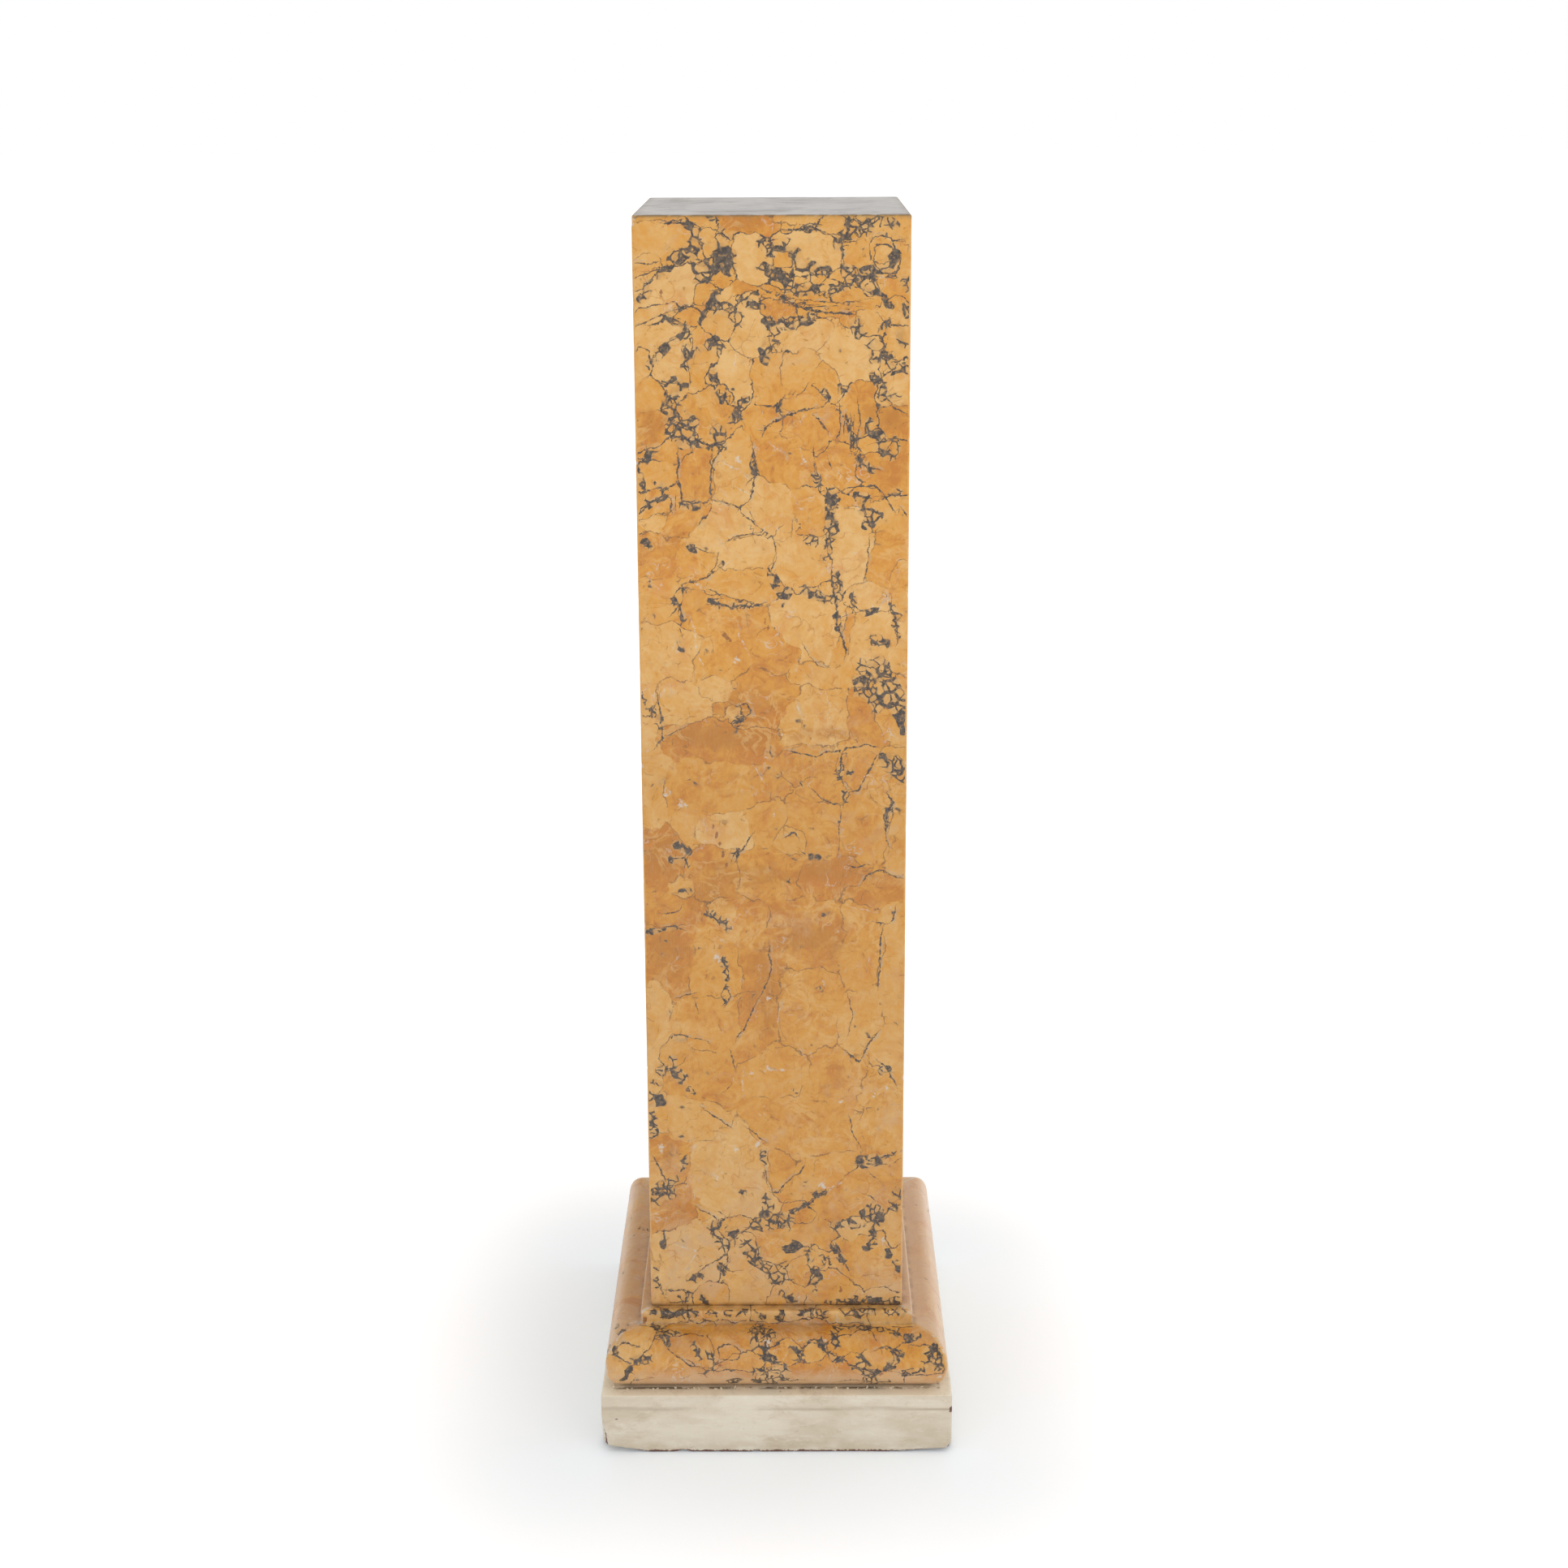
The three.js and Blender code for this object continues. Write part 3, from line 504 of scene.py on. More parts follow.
def give(mesh, **fields):
    """Stores a number for each vertex, under each of the names that the materials read."""
    for name, values in fields.items():
        padded = np.zeros(len(mesh.vertices), dtype=np.float32)
        padded[: len(values)] = values
        mesh.attributes.new(name, "FLOAT", "POINT").data.foreach_set("value", padded)


def coordinates(mesh):
    """The vertices as an array."""
    flat = np.empty(len(mesh.vertices) * 3, dtype=np.float32)
    mesh.vertices.foreach_get("co", flat)
    return flat.reshape(-1, 3).astype(float)


def set_coordinates(mesh, places):
    """Moves the vertices."""
    mesh.vertices.foreach_set("co", places.astype(np.float32).ravel())
    mesh.update()


def roughly(places, size, seed):
    """Smooth noise from -1 to 1 at the places, with bumps of about the given size."""
    shift = Vector((seed * 7.3, seed * 3.1, seed * 5.7))
    return np.array([noise.noise(Vector(p) / size + shift) for p in places])


def add_piece(name, mesh, nodes, materials):
    """Puts a finished mesh into the scene as the piece that stands for its solid."""
    piece = bpy.data.objects.new(name, mesh)
    bpy.context.scene.collection.objects.link(piece)
    for material in materials:
        mesh.materials.append(material)
    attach(piece, "root")
    if nodes:
        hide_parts(*nodes)
    return piece


# The laying out of the marbling

# Distances to seams and veins are stored up to this far, in millimetres
FAR = 30.0
# The least slope between two clasts, which keeps a seam's distance from running away
LEAST_SLOPE = 0.004
# How much face each vein, chip and gash laid by chance has, as half its width times its height in
# square millimetres, how much height each cloud has, and how long each stretch of a vein is
VEIN_ROOM = 1100
CHIP_ROOM = 6000
GASH_ROOM = 40000
CLOUD_ROOM = 110
STRETCH = 12
# What the arrises and end faces hold, where no marbling is laid
UNMARKED = {
    "tone_here": 0.5, "tone_plus": 0.5, "tone_minus": 0.5, "seam_side": 9.0, "seam_near": 9.0,
    "vein_side": 9.0, "vein_near": 9.0, "vein_width": 0.0, "matrix": 0.0, "about": 0.0,
    "chalk": 0.0, "gash": 0.0, "cloud": 0.0, "richness": 0.0,
}


def ease(values, low, high):
    """0 below low, 1 above high, smooth between; falls instead if low is above high."""
    share = np.clip((values - low) / (high - low), 0.0, 1.0)
    return share * share * (3 - 2 * share)


def clast_fields(across, up, clasts):
    """For each place: its clast's tone, the tones on both sides of the nearest seam, and the distance.

    The seam's signed distance passes through zero from one clast to its neighbour, so that a thin vein
    stays sharp between the vertices.
    """
    centre_x, centre_y, wide, high, lean, tone = (np.array(column, float) for column in zip(*clasts))
    turn = np.radians(lean)
    dx = across[:, None] - centre_x
    dy = up[:, None] - centre_y
    along = dx * np.cos(turn) + dy * np.sin(turn)
    aside = dy * np.cos(turn) - dx * np.sin(turn)
    reach = np.sqrt((along / wide) ** 2 + (aside / high) ** 2) + 1e-6
    slope_x = (along * np.cos(turn) / wide**2 - aside * np.sin(turn) / high**2) / reach
    slope_y = (along * np.sin(turn) / wide**2 + aside * np.cos(turn) / high**2) / reach
    order = np.argpartition(reach, 1, axis=1)[:, :2]
    rows = np.arange(len(across))
    first, second = order[:, 0], order[:, 1]
    swap = reach[rows, first] > reach[rows, second]
    first, second = np.where(swap, second, first), np.where(swap, first, second)
    gap = reach[rows, second] - reach[rows, first]
    steep = np.hypot(
        slope_x[rows, second] - slope_x[rows, first], slope_y[rows, second] - slope_y[rows, first]
    )
    distance = np.minimum(gap / np.maximum(steep, LEAST_SLOPE), FAR)
    sign = np.where(first < second, 1.0, -1.0)
    return {
        "tone_here": tone[first],
        "tone_plus": tone[np.minimum(first, second)],
        "tone_minus": tone[np.maximum(first, second)],
        "seam_side": sign * distance,
        "seam_near": distance,
    }


def to_stretch(across, up, start, end):
    """For each place: how far along a straight stretch it is, its distance, and on which side."""
    (x0, y0), (x1, y1) = start, end
    dx, dy = x1 - x0, y1 - y0
    share = np.clip(((across - x0) * dx + (up - y0) * dy) / (dx * dx + dy * dy), 0.0, 1.0)
    away = np.hypot(across - x0 - share * dx, up - y0 - share * dy)
    side = np.where(dx * (up - y0) - dy * (across - x0) < 0, -1.0, 1.0)
    return share * math.hypot(dx, dy), away, side


def run_reach(across, up, runs):
    """1 inside a run of matrix, falling to 0 at its edge, and the same for its wider surroundings."""
    inside = np.zeros(len(across))
    about = np.zeros(len(across))
    for width, *places in runs:
        for start, end in zip(places, places[1:]):
            away = to_stretch(across, up, start, end)[1]
            inside = np.maximum(inside, 1.2 - away / (0.85 * width))
            about = np.maximum(about, 1.0 - away / (12.0 + width))
    return np.clip(inside, 0.0, 1.0), np.clip(about, 0.0, 1.0)


def vein_fields(across, up, veins):
    """The signed and the plain distance to the nearest thin vein, and its width there."""
    near = np.full(len(across), FAR)
    side = np.full(len(across), FAR)
    width_here = np.zeros(len(across))
    for width, *places in veins:
        length = sum(math.dist(a, b) for a, b in zip(places, places[1:]))
        passed = 0.0
        for start, end in zip(places, places[1:]):
            along, away, hand = to_stretch(across, up, start, end)
            to_end = np.minimum(passed + along, length - passed - along)
            closer = away < near
            near = np.where(closer, away, near)
            side = np.where(closer, away * hand, side)
            tapered = width * (0.25 + 0.75 * ease(to_end, 0.0, 7.0))
            width_here = np.where(closer, tapered, width_here)
            passed += math.dist(start, end)
    return {"vein_side": side, "vein_near": near, "vein_width": width_here}


def spot_reach(across, up, spots):
    """1 in the middle of a round spot, 0 at its edge."""
    inside = np.zeros(len(across))
    for x, y, radius in spots:
        inside = np.maximum(inside, 1.4 - np.hypot(across - x, up - y) / radius)
    return np.clip(inside, 0.0, 1.0)


def cloud_reach(across, up, clouds):
    """How deep in a brown cloud each place is, from 0 to 1."""
    inside = np.zeros(len(across))
    for x, y, wide, high in clouds:
        inside = np.maximum(inside, 1.3 - np.hypot((across - x) / wide, (up - y) / high))
    return np.clip(inside, 0.0, 1.0)


def chance_layout(rng, half, height, cell, richness):
    """Clasts, matrix, veins, chalk, clouds and gashes for a face laid in the same way."""
    clasts = []
    rows = max(2, round(height / cell))
    per_row = max(2, round(2 * half / cell))
    for row in range(rows):
        for column in range(per_row):
            across = -half + 2 * half * (column + rng.uniform(0.1, 0.9)) / per_row
            up = height * (row + rng.uniform(0.1, 0.9)) / rows
            cloudy = 0.3 * (1 - richness(up))
            clasts.append((
                across, up, cell * rng.uniform(0.3, 0.8), cell * rng.uniform(0.3, 0.8),
                rng.uniform(-40, 40), min(1.0, rng.choice((0.2, 0.35, 0.5, 0.65, 0.8)) + cloudy),
            ))
            if rng.random() < 0.6:
                clasts.append((
                    across + rng.uniform(-cell, cell) / 2, up + rng.uniform(-cell, cell) / 2,
                    cell * rng.uniform(0.14, 0.22), cell * rng.uniform(0.14, 0.22), 0.0,
                    rng.choice((0.3, 0.45, 0.6)),
                ))
    runs = []
    veins = [(-2, (-half, 0), (2 - half, 5))]
    for _ in range(round(half * height / VEIN_ROOM)):
        x, y = rng.uniform(-half, half), rng.uniform(0, height)
        if rng.random() > richness(y):
            continue
        turn = rng.uniform(0, math.tau)
        places = [(x, y)]
        for _ in range(rng.choice((1, 2, 2, 3))):
            turn += rng.uniform(-0.9, 0.9)
            x += STRETCH * math.cos(turn)
            y += STRETCH * math.sin(turn)
            places.append((x, y))
        width = rng.choice((1.5, 2, 2.5, 4, 5, 6, 8, 11))
        (veins if width < 4 else runs).append((width, *places))
    chalk = [
        (rng.uniform(-half, half), rng.uniform(0, height), rng.uniform(2, 5))
        for _ in range(round(half * height / CHIP_ROOM))
    ]
    clouds = [
        (
            rng.uniform(-half, half), rng.uniform(0.25, 0.7) * height,
            rng.uniform(25, 70), rng.uniform(12, 45),
        )
        for _ in range(round(height / CLOUD_ROOM))
    ]
    gashes = []
    for _ in range(round(half * height / GASH_ROOM)):
        x, y = rng.uniform(-half, half), rng.uniform(0, height)
        width = rng.uniform(1.6, 2.6)
        gashes.append((width, (x, y), (x + rng.uniform(-4, 4), y - rng.uniform(4, 12))))
    return clasts, runs, veins, chalk, clouds, gashes


def lay_marbling(mesh, run, front, richness, drawn, height, cell, seed, plainer=1.0):
    """Stores the marbling's layout on a square run: the front as drawn, the other faces by chance.

    Heights along the section are counted in the drawn layout's millimetres. The other faces' veins are
    as rich as the front's, times `plainer`.
    """
    rng = random.Random(seed)
    fields = {name: np.full(len(run.face), value) for name, value in UNMARKED.items()}
    half = max(point[0] for point in run.section) / MM
    for face in (RIGHT, BACK, LEFT, FRONT):
        on = np.flatnonzero(run.face == face)
        across = run.across[on] / MM
        up = run.along[on] * (drawn / height)
        places = np.stack([across, up, np.full(len(on), 300.0 * face)], axis=1)
        bent_x = across + 5.5 * roughly(places, 24.0, 1) + 4.0 * roughly(places, 10.0, 2)
        bent_y = up + 5.5 * roughly(places, 24.0, 3) + 4.0 * roughly(places, 10.0, 4)
        share = 1.0 if face == FRONT else plainer
        layout = front
        if face != FRONT:
            layout = chance_layout(rng, half, drawn, cell, lambda y: richness(y) * share)
        clasts, runs, veins, chalk, clouds, gashes = layout
        near_x = across + 1.6 * roughly(places, 9.0, 5)
        near_y = up + 1.6 * roughly(places, 9.0, 6)
        matrix, about = run_reach(near_x, near_y, runs)
        here = {
            **clast_fields(bent_x, bent_y, clasts),
            **vein_fields(near_x, near_y, veins),
            "matrix": matrix,
            "about": about,
            "chalk": spot_reach(near_x, near_y, chalk),
            "gash": run_reach(near_x, near_y, gashes)[0],
            "cloud": cloud_reach(bent_x, bent_y, clouds),
            "richness": [richness(y) * share for y in up],
        }
        for name, values in here.items():
            fields[name][on] = values
    give(mesh, **fields)


def shaft_richness(up):
    """How strongly the veins show, up the shaft: strong at the top and the foot, faint between."""
    heights = [0, 110, 200, 400, 560, 640, 760, 860, 1068]
    shares = [0.95, 0.85, 0.45, 0.4, 0.5, 0.6, 0.72, 0.95, 1.0]
    return float(np.interp(up, heights, shares))


def base_richness(up):
    """The base moulding's veins are strong all over."""
    return 0.9


# Node helpers


class Nodes:
    """Short words for building one node tree."""

    def __init__(self, tree):
        self.tree = tree

    def add(self, kind, inputs=(), **settings):
        """A node with its settings, and its inputs by name or number, as values or as sockets."""
        node = self.tree.nodes.new(kind)
        for name, value in settings.items():
            setattr(node, name, value)
        for name, value in dict(inputs).items():
            self.feed(node.inputs[name], value)
        return node

    def feed(self, socket, value):
        """Sets a socket's value, or links another socket to it."""
        if isinstance(value, bpy.types.NodeSocket):
            self.tree.links.new(value, socket)
        elif socket.type == "RGBA" and len(value) == 3:
            socket.default_value = (*value, 1.0)
        else:
            socket.default_value = value

    def math(self, operation, first, second=0.0, third=0.0, clamp=False):
        """One Math node."""
        values = {0: first, 1: second, 2: third}
        return self.add("ShaderNodeMath", values, operation=operation, use_clamp=clamp).outputs[0]

    def product(self, *factors):
        """Multiplies numbers together."""
        whole = factors[0]
        for factor in factors[1:]:
            whole = self.math("MULTIPLY", whole, factor)
        return whole

    def level_line(self, value, level):
        """How far a number is from a level, for a line drawn where it passes through it."""
        return self.math("ABSOLUTE", self.math("SUBTRACT", value, level))

    def vector(self, operation, first, second=(0.0, 0.0, 0.0)):
        """One Vector Math node with two vectors."""
        return self.add("ShaderNodeVectorMath", {0: first, 1: second}, operation=operation).outputs[0]

    def band(self, value, low, high, from_value=0.0, to_value=1.0):
        """Smooth step of a value between two bounds."""
        return self.add("ShaderNodeMapRange", {
            "Value": value, "From Min": low, "From Max": high, "To Min": from_value, "To Max": to_value,
        }, interpolation_type="SMOOTHSTEP").outputs["Result"]

    def mix(self, share, first, second, blend="MIX"):
        """Mixes two colours."""
        node = self.add("ShaderNodeMix", data_type="RGBA", blend_type=blend)
        self.feed(node.inputs[0], share)
        self.feed(node.inputs[6], first)
        self.feed(node.inputs[7], second)
        return node.outputs[2]

    def layers(self, base, *coats):
        """Colours laid one over another on a base, each as its share and its colour."""
        for share, colour in coats:
            base = self.mix(share, base, colour)
        return base

    def blend(self, share, first, second):
        """Mixes two numbers."""
        node = self.add("ShaderNodeMix", data_type="FLOAT")
        self.feed(node.inputs[0], share)
        self.feed(node.inputs[2], first)
        self.feed(node.inputs[3], second)
        return node.outputs[0]

    def grain(self, place, size, detail=2.0, roughness=0.5, distortion=0.0):
        """Noise with features of the given size in millimetres, from 0 to 1."""
        node = self.add("ShaderNodeTexNoise", {
            "Vector": place, "Scale": 1000.0 / size, "Detail": detail, "Roughness": roughness,
            "Distortion": distortion,
        })
        return node.outputs["Fac"]

    def scaled(self, vector, factor):
        """A vector made longer or shorter."""
        inputs = {0: vector, "Scale": factor}
        return self.add("ShaderNodeVectorMath", inputs, operation="SCALE").outputs[0]

    def swing(self, place, size, detail=2.0, roughness=0.5, distortion=0.0):
        """The same noise about zero, from -0.5 to 0.5."""
        return self.math("SUBTRACT", self.grain(place, size, detail, roughness, distortion), 0.5)

    def bend(self, place, size, amount, detail=2.0):
        """A place shifted by noise of the given size, by up to the amount, both in millimetres."""
        inputs = {"Vector": place, "Scale": 1000.0 / size, "Detail": detail}
        three_ways = self.add("ShaderNodeTexNoise", inputs).outputs["Color"]
        shift = self.vector("SUBTRACT", three_ways, (0.5, 0.5, 0.5))
        return self.vector("ADD", place, self.scaled(shift, 2 * amount * MM))

    def cells(self, place, size, feature="DISTANCE_TO_EDGE"):
        """Voronoi cells of the given size in millimetres."""
        inputs = {"Vector": place, "Scale": 1000.0 / size}
        return self.add("ShaderNodeTexVoronoi", inputs, feature=feature).outputs

    def stretch(self, place, scale):
        """A place scaled unevenly, for grain that runs one way."""
        return self.add("ShaderNodeMapping", {"Vector": place, "Scale": scale}).outputs[0]

    def attribute(self, name):
        """A number stored on the mesh."""
        return self.add("ShaderNodeAttribute", attribute_name=name).outputs["Fac"]

    def effect(self, name, inputs):
        """The outputs of a shared effect, placed with its own inputs."""
        makers = {"Fine Scratches": scratches_group, "Arris Wear": wear_group, "Grime": grime_group}
        group = bpy.data.node_groups.get(name) or makers[name]()
        return self.add("ShaderNodeGroup", inputs, node_tree=group).outputs

    def relief(self, shader, strength, depth, height):
        """Feeds a bump of the given depth in metres to the shader's normal."""
        bump = self.add("ShaderNodeBump", {"Strength": strength, "Distance": depth, "Height": height})
        self.feed(shader.inputs["Normal"], bump.outputs[0])


def new_group(name, inputs, outputs):
    """A shader node group with its sockets: (name, kind, default) in, (name, kind) out."""
    group = bpy.data.node_groups.new(name, "ShaderNodeTree")
    kinds = {"number": "NodeSocketFloat", "vector": "NodeSocketVector"}
    for title, kind, default in inputs:
        socket = group.interface.new_socket(title, in_out="INPUT", socket_type=kinds[kind])
        if default is not None:
            socket.default_value = default
    for title, kind in outputs:
        group.interface.new_socket(title, in_out="OUTPUT", socket_type=kinds[kind])
    nodes = Nodes(group)
    return nodes, nodes.add("NodeGroupInput").outputs, nodes.add("NodeGroupOutput").inputs


# Sizes in millimetres: nine scratches to the centimetre, in patches of which fourteen make a metre
SCRATCH_SPACING = 10 / 9
SCRATCHED_PATCH = 1000 / 14


def scratches_group():
    """Fine scratches that run mostly one way, thinned out by a broad noise."""
    nodes, given, out = new_group(
        "Fine Scratches",
        [("Place", "vector", None), ("Share", "number", 0.4)],
        [("Mask", "number")],
    )
    drawn_out = nodes.vector("MULTIPLY", given["Place"], (1.0, 1.0, 0.045))
    line = nodes.level_line(nodes.grain(drawn_out, SCRATCH_SPACING), 0.5)
    line = nodes.band(line, 0.02, 0.0)
    patches = nodes.grain(given["Place"], SCRATCHED_PATCH, 3.0)
    bound = nodes.math("SUBTRACT", 1.0, given["Share"])
    kept = nodes.band(patches, nodes.math("SUBTRACT", bound, 0.1), nodes.math("ADD", bound, 0.1))
    nodes.feed(out["Mask"], nodes.product(line, kept))
    return nodes.tree


def wear_group():
    """Wear along arrises: the stored wear, roughened by noise so that its edge is ragged."""
    nodes, given, out = new_group(
        "Arris Wear",
        [("Place", "vector", None), ("Wear", "number", 0.0), ("Raggedness", "number", 0.5)],
        [("Mask", "number")],
    )
    coarse = nodes.swing(given["Place"], 9.0, 4.0, 0.6)
    fine = nodes.swing(given["Place"], 2.2, 2.0, 0.6)
    shaken = nodes.math("ADD", coarse, fine)
    ragged = nodes.math("MULTIPLY_ADD", shaken, given["Raggedness"], given["Wear"])
    nodes.feed(out["Mask"], nodes.band(ragged, 0.45, 0.6))
    return nodes.tree


def grime_group():
    """Old dirt in soft patches, darker where the stored recess value is high (painted shade in recesses, at
    joints and under the torus; dirt at the plinth's foot), and a few specks.
    """
    nodes, given, out = new_group(
        "Grime",
        [("Place", "vector", None), ("Crevice", "number", 0.0), ("Amount", "number", 0.5)],
        [("Mask", "number"), ("Specks", "number")],
    )
    patches = nodes.band(nodes.grain(given["Place"], 55.0, 6.0, 0.62), 0.42, 0.78)
    settling = nodes.band(nodes.grain(given["Place"], 12.0, 4.0), 0.3, 0.6)
    settled = nodes.product(given["Crevice"], settling)
    whole = nodes.math("MULTIPLY_ADD", patches, given["Amount"], settled, clamp=True)
    nodes.feed(out["Mask"], whole)
    near = nodes.band(nodes.cells(given["Place"], 9.0, "F1")["Distance"], 0.11, 0.05)
    rare = nodes.band(nodes.grain(given["Place"], 23.0, 2.0), 0.6, 0.66)
    nodes.feed(out["Specks"], nodes.product(near, rare))
    return nodes.tree


def new_material(name, roughness):
    """A material with its nodes, its shader and the piece's own coordinates."""
    material = bpy.data.materials.new(name)
    material.use_nodes = True
    tree = material.node_tree
    tree.nodes.clear()
    nodes = Nodes(tree)
    shader = nodes.add("ShaderNodeBsdfPrincipled", {"Roughness": roughness})
    nodes.add("ShaderNodeOutputMaterial", {"Surface": shader.outputs[0]})
    place = nodes.add("ShaderNodeTexCoord").outputs["Object"]
    return material, nodes, shader, place


# Lesser colours of the scagliola, which the panel doesn't show
AMBER_STAIN = linear((199, 124, 47))
HAIRLINE_BROWN = linear((112, 78, 48))
GASH_BROWN = linear((132, 76, 34))
ASH_GREY = linear((176, 162, 140))
SMOKE_BROWN = linear((132, 106, 78))
# Painted reflection: sheen on the base's right side and bounce light low on its front
HAZE = linear((212, 190, 168))
# Multiplied in as painted shade
PATINA = linear((243, 244, 248))
RIM_BROWN = linear((120, 98, 62))
# Dirt, and painted shade in recesses and at joints
CREVICE_BROWN = linear((120, 88, 62))

# Lesser colours of the grey paint on the top
RUBBED_GREY = linear((162, 155, 149))
FRESH_GREY = linear((203, 198, 194))
TOP_RIM_BROWN = linear((132, 108, 74))
TOP_WORN_BROWN = linear((128, 112, 84))
TOP_GRIME = linear((150, 136, 122))

# Lesser colours of the cream paint, the filler and the floor
BRUSHED_CREAM = linear((228, 221, 206))
# Painted light on the plinth's top face
LEDGE_CREAM = linear((242, 230, 204))
SMUDGE_BEIGE = linear((184, 164, 134))
SCUFF_BEIGE = linear((166, 146, 116))
DARK_SPECK = linear((118, 94, 72))
PALE_SPECK = linear((240, 234, 222))
STREAK_BEIGE = linear((192, 174, 142))
STREAK_CREAM = linear((236, 229, 214))
GROOVE_BEIGE = linear((150, 132, 106))
# A gap with painted shadow, along the joint under the torus
GAP_BROWN = linear((84, 66, 50))
GRIME_SPECK = linear((74, 58, 48))
DARK_PRIMER = linear((84, 66, 54))
FILLER_CREAM = linear((236, 226, 200))
FLOOR_WHITE = linear((250, 250, 250))

# Sizes in millimetres of the cells that the cracks run round, and of the coarse and the fine pebbles
CRACK_CELL = 27.0
PEBBLE_CELLS = (12.5, 7.5)


class Marbling:
    """The scagliola's colour, built up from its clasts to its matrix.

    `ground` is the colour of all that is not dark, and `dark` the share of dark vein or matrix.
    """

    def __init__(self, nodes, place, colours):
        self.nodes = nodes
        self.place = place
        self.colours = colours
        self.bent = nodes.bend(place, 42.0, 16.0, 4.0)
        self.flowing = nodes.bend(place, 34.0, 22.0, 2.0)
        self.shake = nodes.swing(place, 3.4, 3.0, 0.65)
        self.speckle = nodes.swing(place, 3.0, 4.0, 0.7)
        self.swirl = nodes.swing(self.flowing, 14.0, 5.0, 0.62, 1.4)
        self.uneven = nodes.grain(place, 4.5, 3.0, 0.7)
        self.dust = nodes.attribute("dust")
        self.seam_near = nodes.attribute("seam_near")
        side = nodes.math("MULTIPLY_ADD", self.shake, 4.4, nodes.attribute("seam_side"))
        self.seam_side = nodes.math("MULTIPLY_ADD", nodes.swing(place, 11.0), 5.0, side)
        self.ground = self.clasts()
        self.stains()
        self.lines_in_clasts()
        self.hairlines()
        self.chalk()
        seams = self.seam_veins()
        drawn = self.drawn_veins()
        self.core = self.matrix_core()
        thick, pebble_colour = self.pebbles()
        self.dark = self.darkness(seams, drawn, thick)
        self.between_the_dark(pebble_colour)

    def lay(self, share, colour):
        """Lays a colour over the ground."""
        self.ground = self.nodes.mix(share, self.ground, colour)

    def clasts(self):
        """Each clast's own tone, mottled and swirled, as a colour from pale honey to deep ochre."""
        nodes = self.nodes
        across = nodes.band(self.seam_side, -0.3, 0.3)
        picked = nodes.blend(across, nodes.attribute("tone_minus"), nodes.attribute("tone_plus"))
        tone = nodes.blend(nodes.band(self.seam_near, 6.5, 3.5), nodes.attribute("tone_here"), picked)
        mottling = nodes.swing(self.bent, 26.0, 6.0, 0.6, 0.8)
        for variation, amount in ((mottling, 1.15), (self.speckle, 0.36), (self.swirl, 0.95)):
            tone = nodes.math("MULTIPLY_ADD", variation, amount, tone)
        ramp = nodes.add("ShaderNodeValToRGB", {0: tone})
        stops = ramp.color_ramp.elements
        stops[0].position = 0.08
        stops[0].color = (*self.colours.pale, 1.0)
        stops[1].position = 0.98
        stops[1].color = (*self.colours.deep, 1.0)
        for position, colour in ((0.36, self.colours.honey), (0.66, self.colours.ochre)):
            stops.new(position).color = (*colour, 1.0)
        return ramp.outputs["Color"]

    def stains(self):
        """Brown clouds, then amber and beige stains that come and go, the beige laid thicker where dust is
        high.
        """
        nodes = self.nodes
        deep = nodes.math("SUBTRACT", nodes.grain(self.bent, 46.0, 6.0, 0.66), 0.72)
        deep = nodes.math("MULTIPLY_ADD", nodes.attribute("cloud"), 0.75, deep)
        deep = nodes.math("MULTIPLY_ADD", self.swirl, 0.8, deep)
        self.lay(nodes.band(deep, 0.0, 0.6, 0.0, 0.7), self.colours.cloud)
        amber = nodes.grain(self.flowing, 30.0, 6.0, 0.62, 0.6)
        self.lay(nodes.band(amber, 0.52, 0.72, 0.0, 0.55), AMBER_STAIN)
        dusty = nodes.math("MULTIPLY_ADD", self.dust, 0.3, nodes.grain(self.bent, 38.0, 6.0, 0.64, 0.6))
        self.lay(nodes.band(dusty, 0.55, 0.85, 0.0, 0.8), self.colours.dust)

    def lines_in_clasts(self):
        """Pale flow lines and a few brown ones inside the clasts."""
        nodes = self.nodes
        flow = nodes.level_line(nodes.grain(self.bent, 30.0, 4.0, 0.6, 1.0), 0.5)
        flow_here = nodes.band(nodes.grain(self.place, 48.0), 0.46, 0.62)
        self.lay(nodes.product(nodes.band(flow, 0.05, 0.0, 0.0, 0.5), flow_here), self.colours.pale)
        rust = nodes.level_line(nodes.grain(self.bent, 36.0, 2.0, 0.6), 0.52)
        rust_here = nodes.band(nodes.grain(self.flowing, 40.0), 0.5, 0.62)
        self.lay(nodes.product(nodes.band(rust, 0.014, 0.0, 0.0, 0.55), rust_here), self.colours.cloud)

    def hairlines(self):
        """Brown hairlines along the seams, and cracks across the clasts, not where dust covers them."""
        nodes = self.nodes
        cracks = nodes.product(nodes.cells(self.bent, CRACK_CELL)["Distance"], CRACK_CELL)
        cracked = nodes.band(cracks, 0.6, 0.15, 0.0, 0.42)
        cracked = nodes.product(cracked, nodes.band(self.swirl, 0.02, 0.1))
        clean = nodes.band(self.dust, 0.85, 0.55)
        patches = nodes.band(nodes.grain(self.bent, 20.0, 3.0), 0.44, 0.58)
        here = nodes.product(nodes.band(self.seam_near, 5.0, 3.4), patches)
        along = nodes.band(nodes.math("ABSOLUTE", self.seam_side), 0.85, 0.2, 0.0, 0.7)
        along = nodes.product(along, here)
        self.lay(nodes.product(nodes.math("MAXIMUM", cracked, along), clean), HAIRLINE_BROWN)

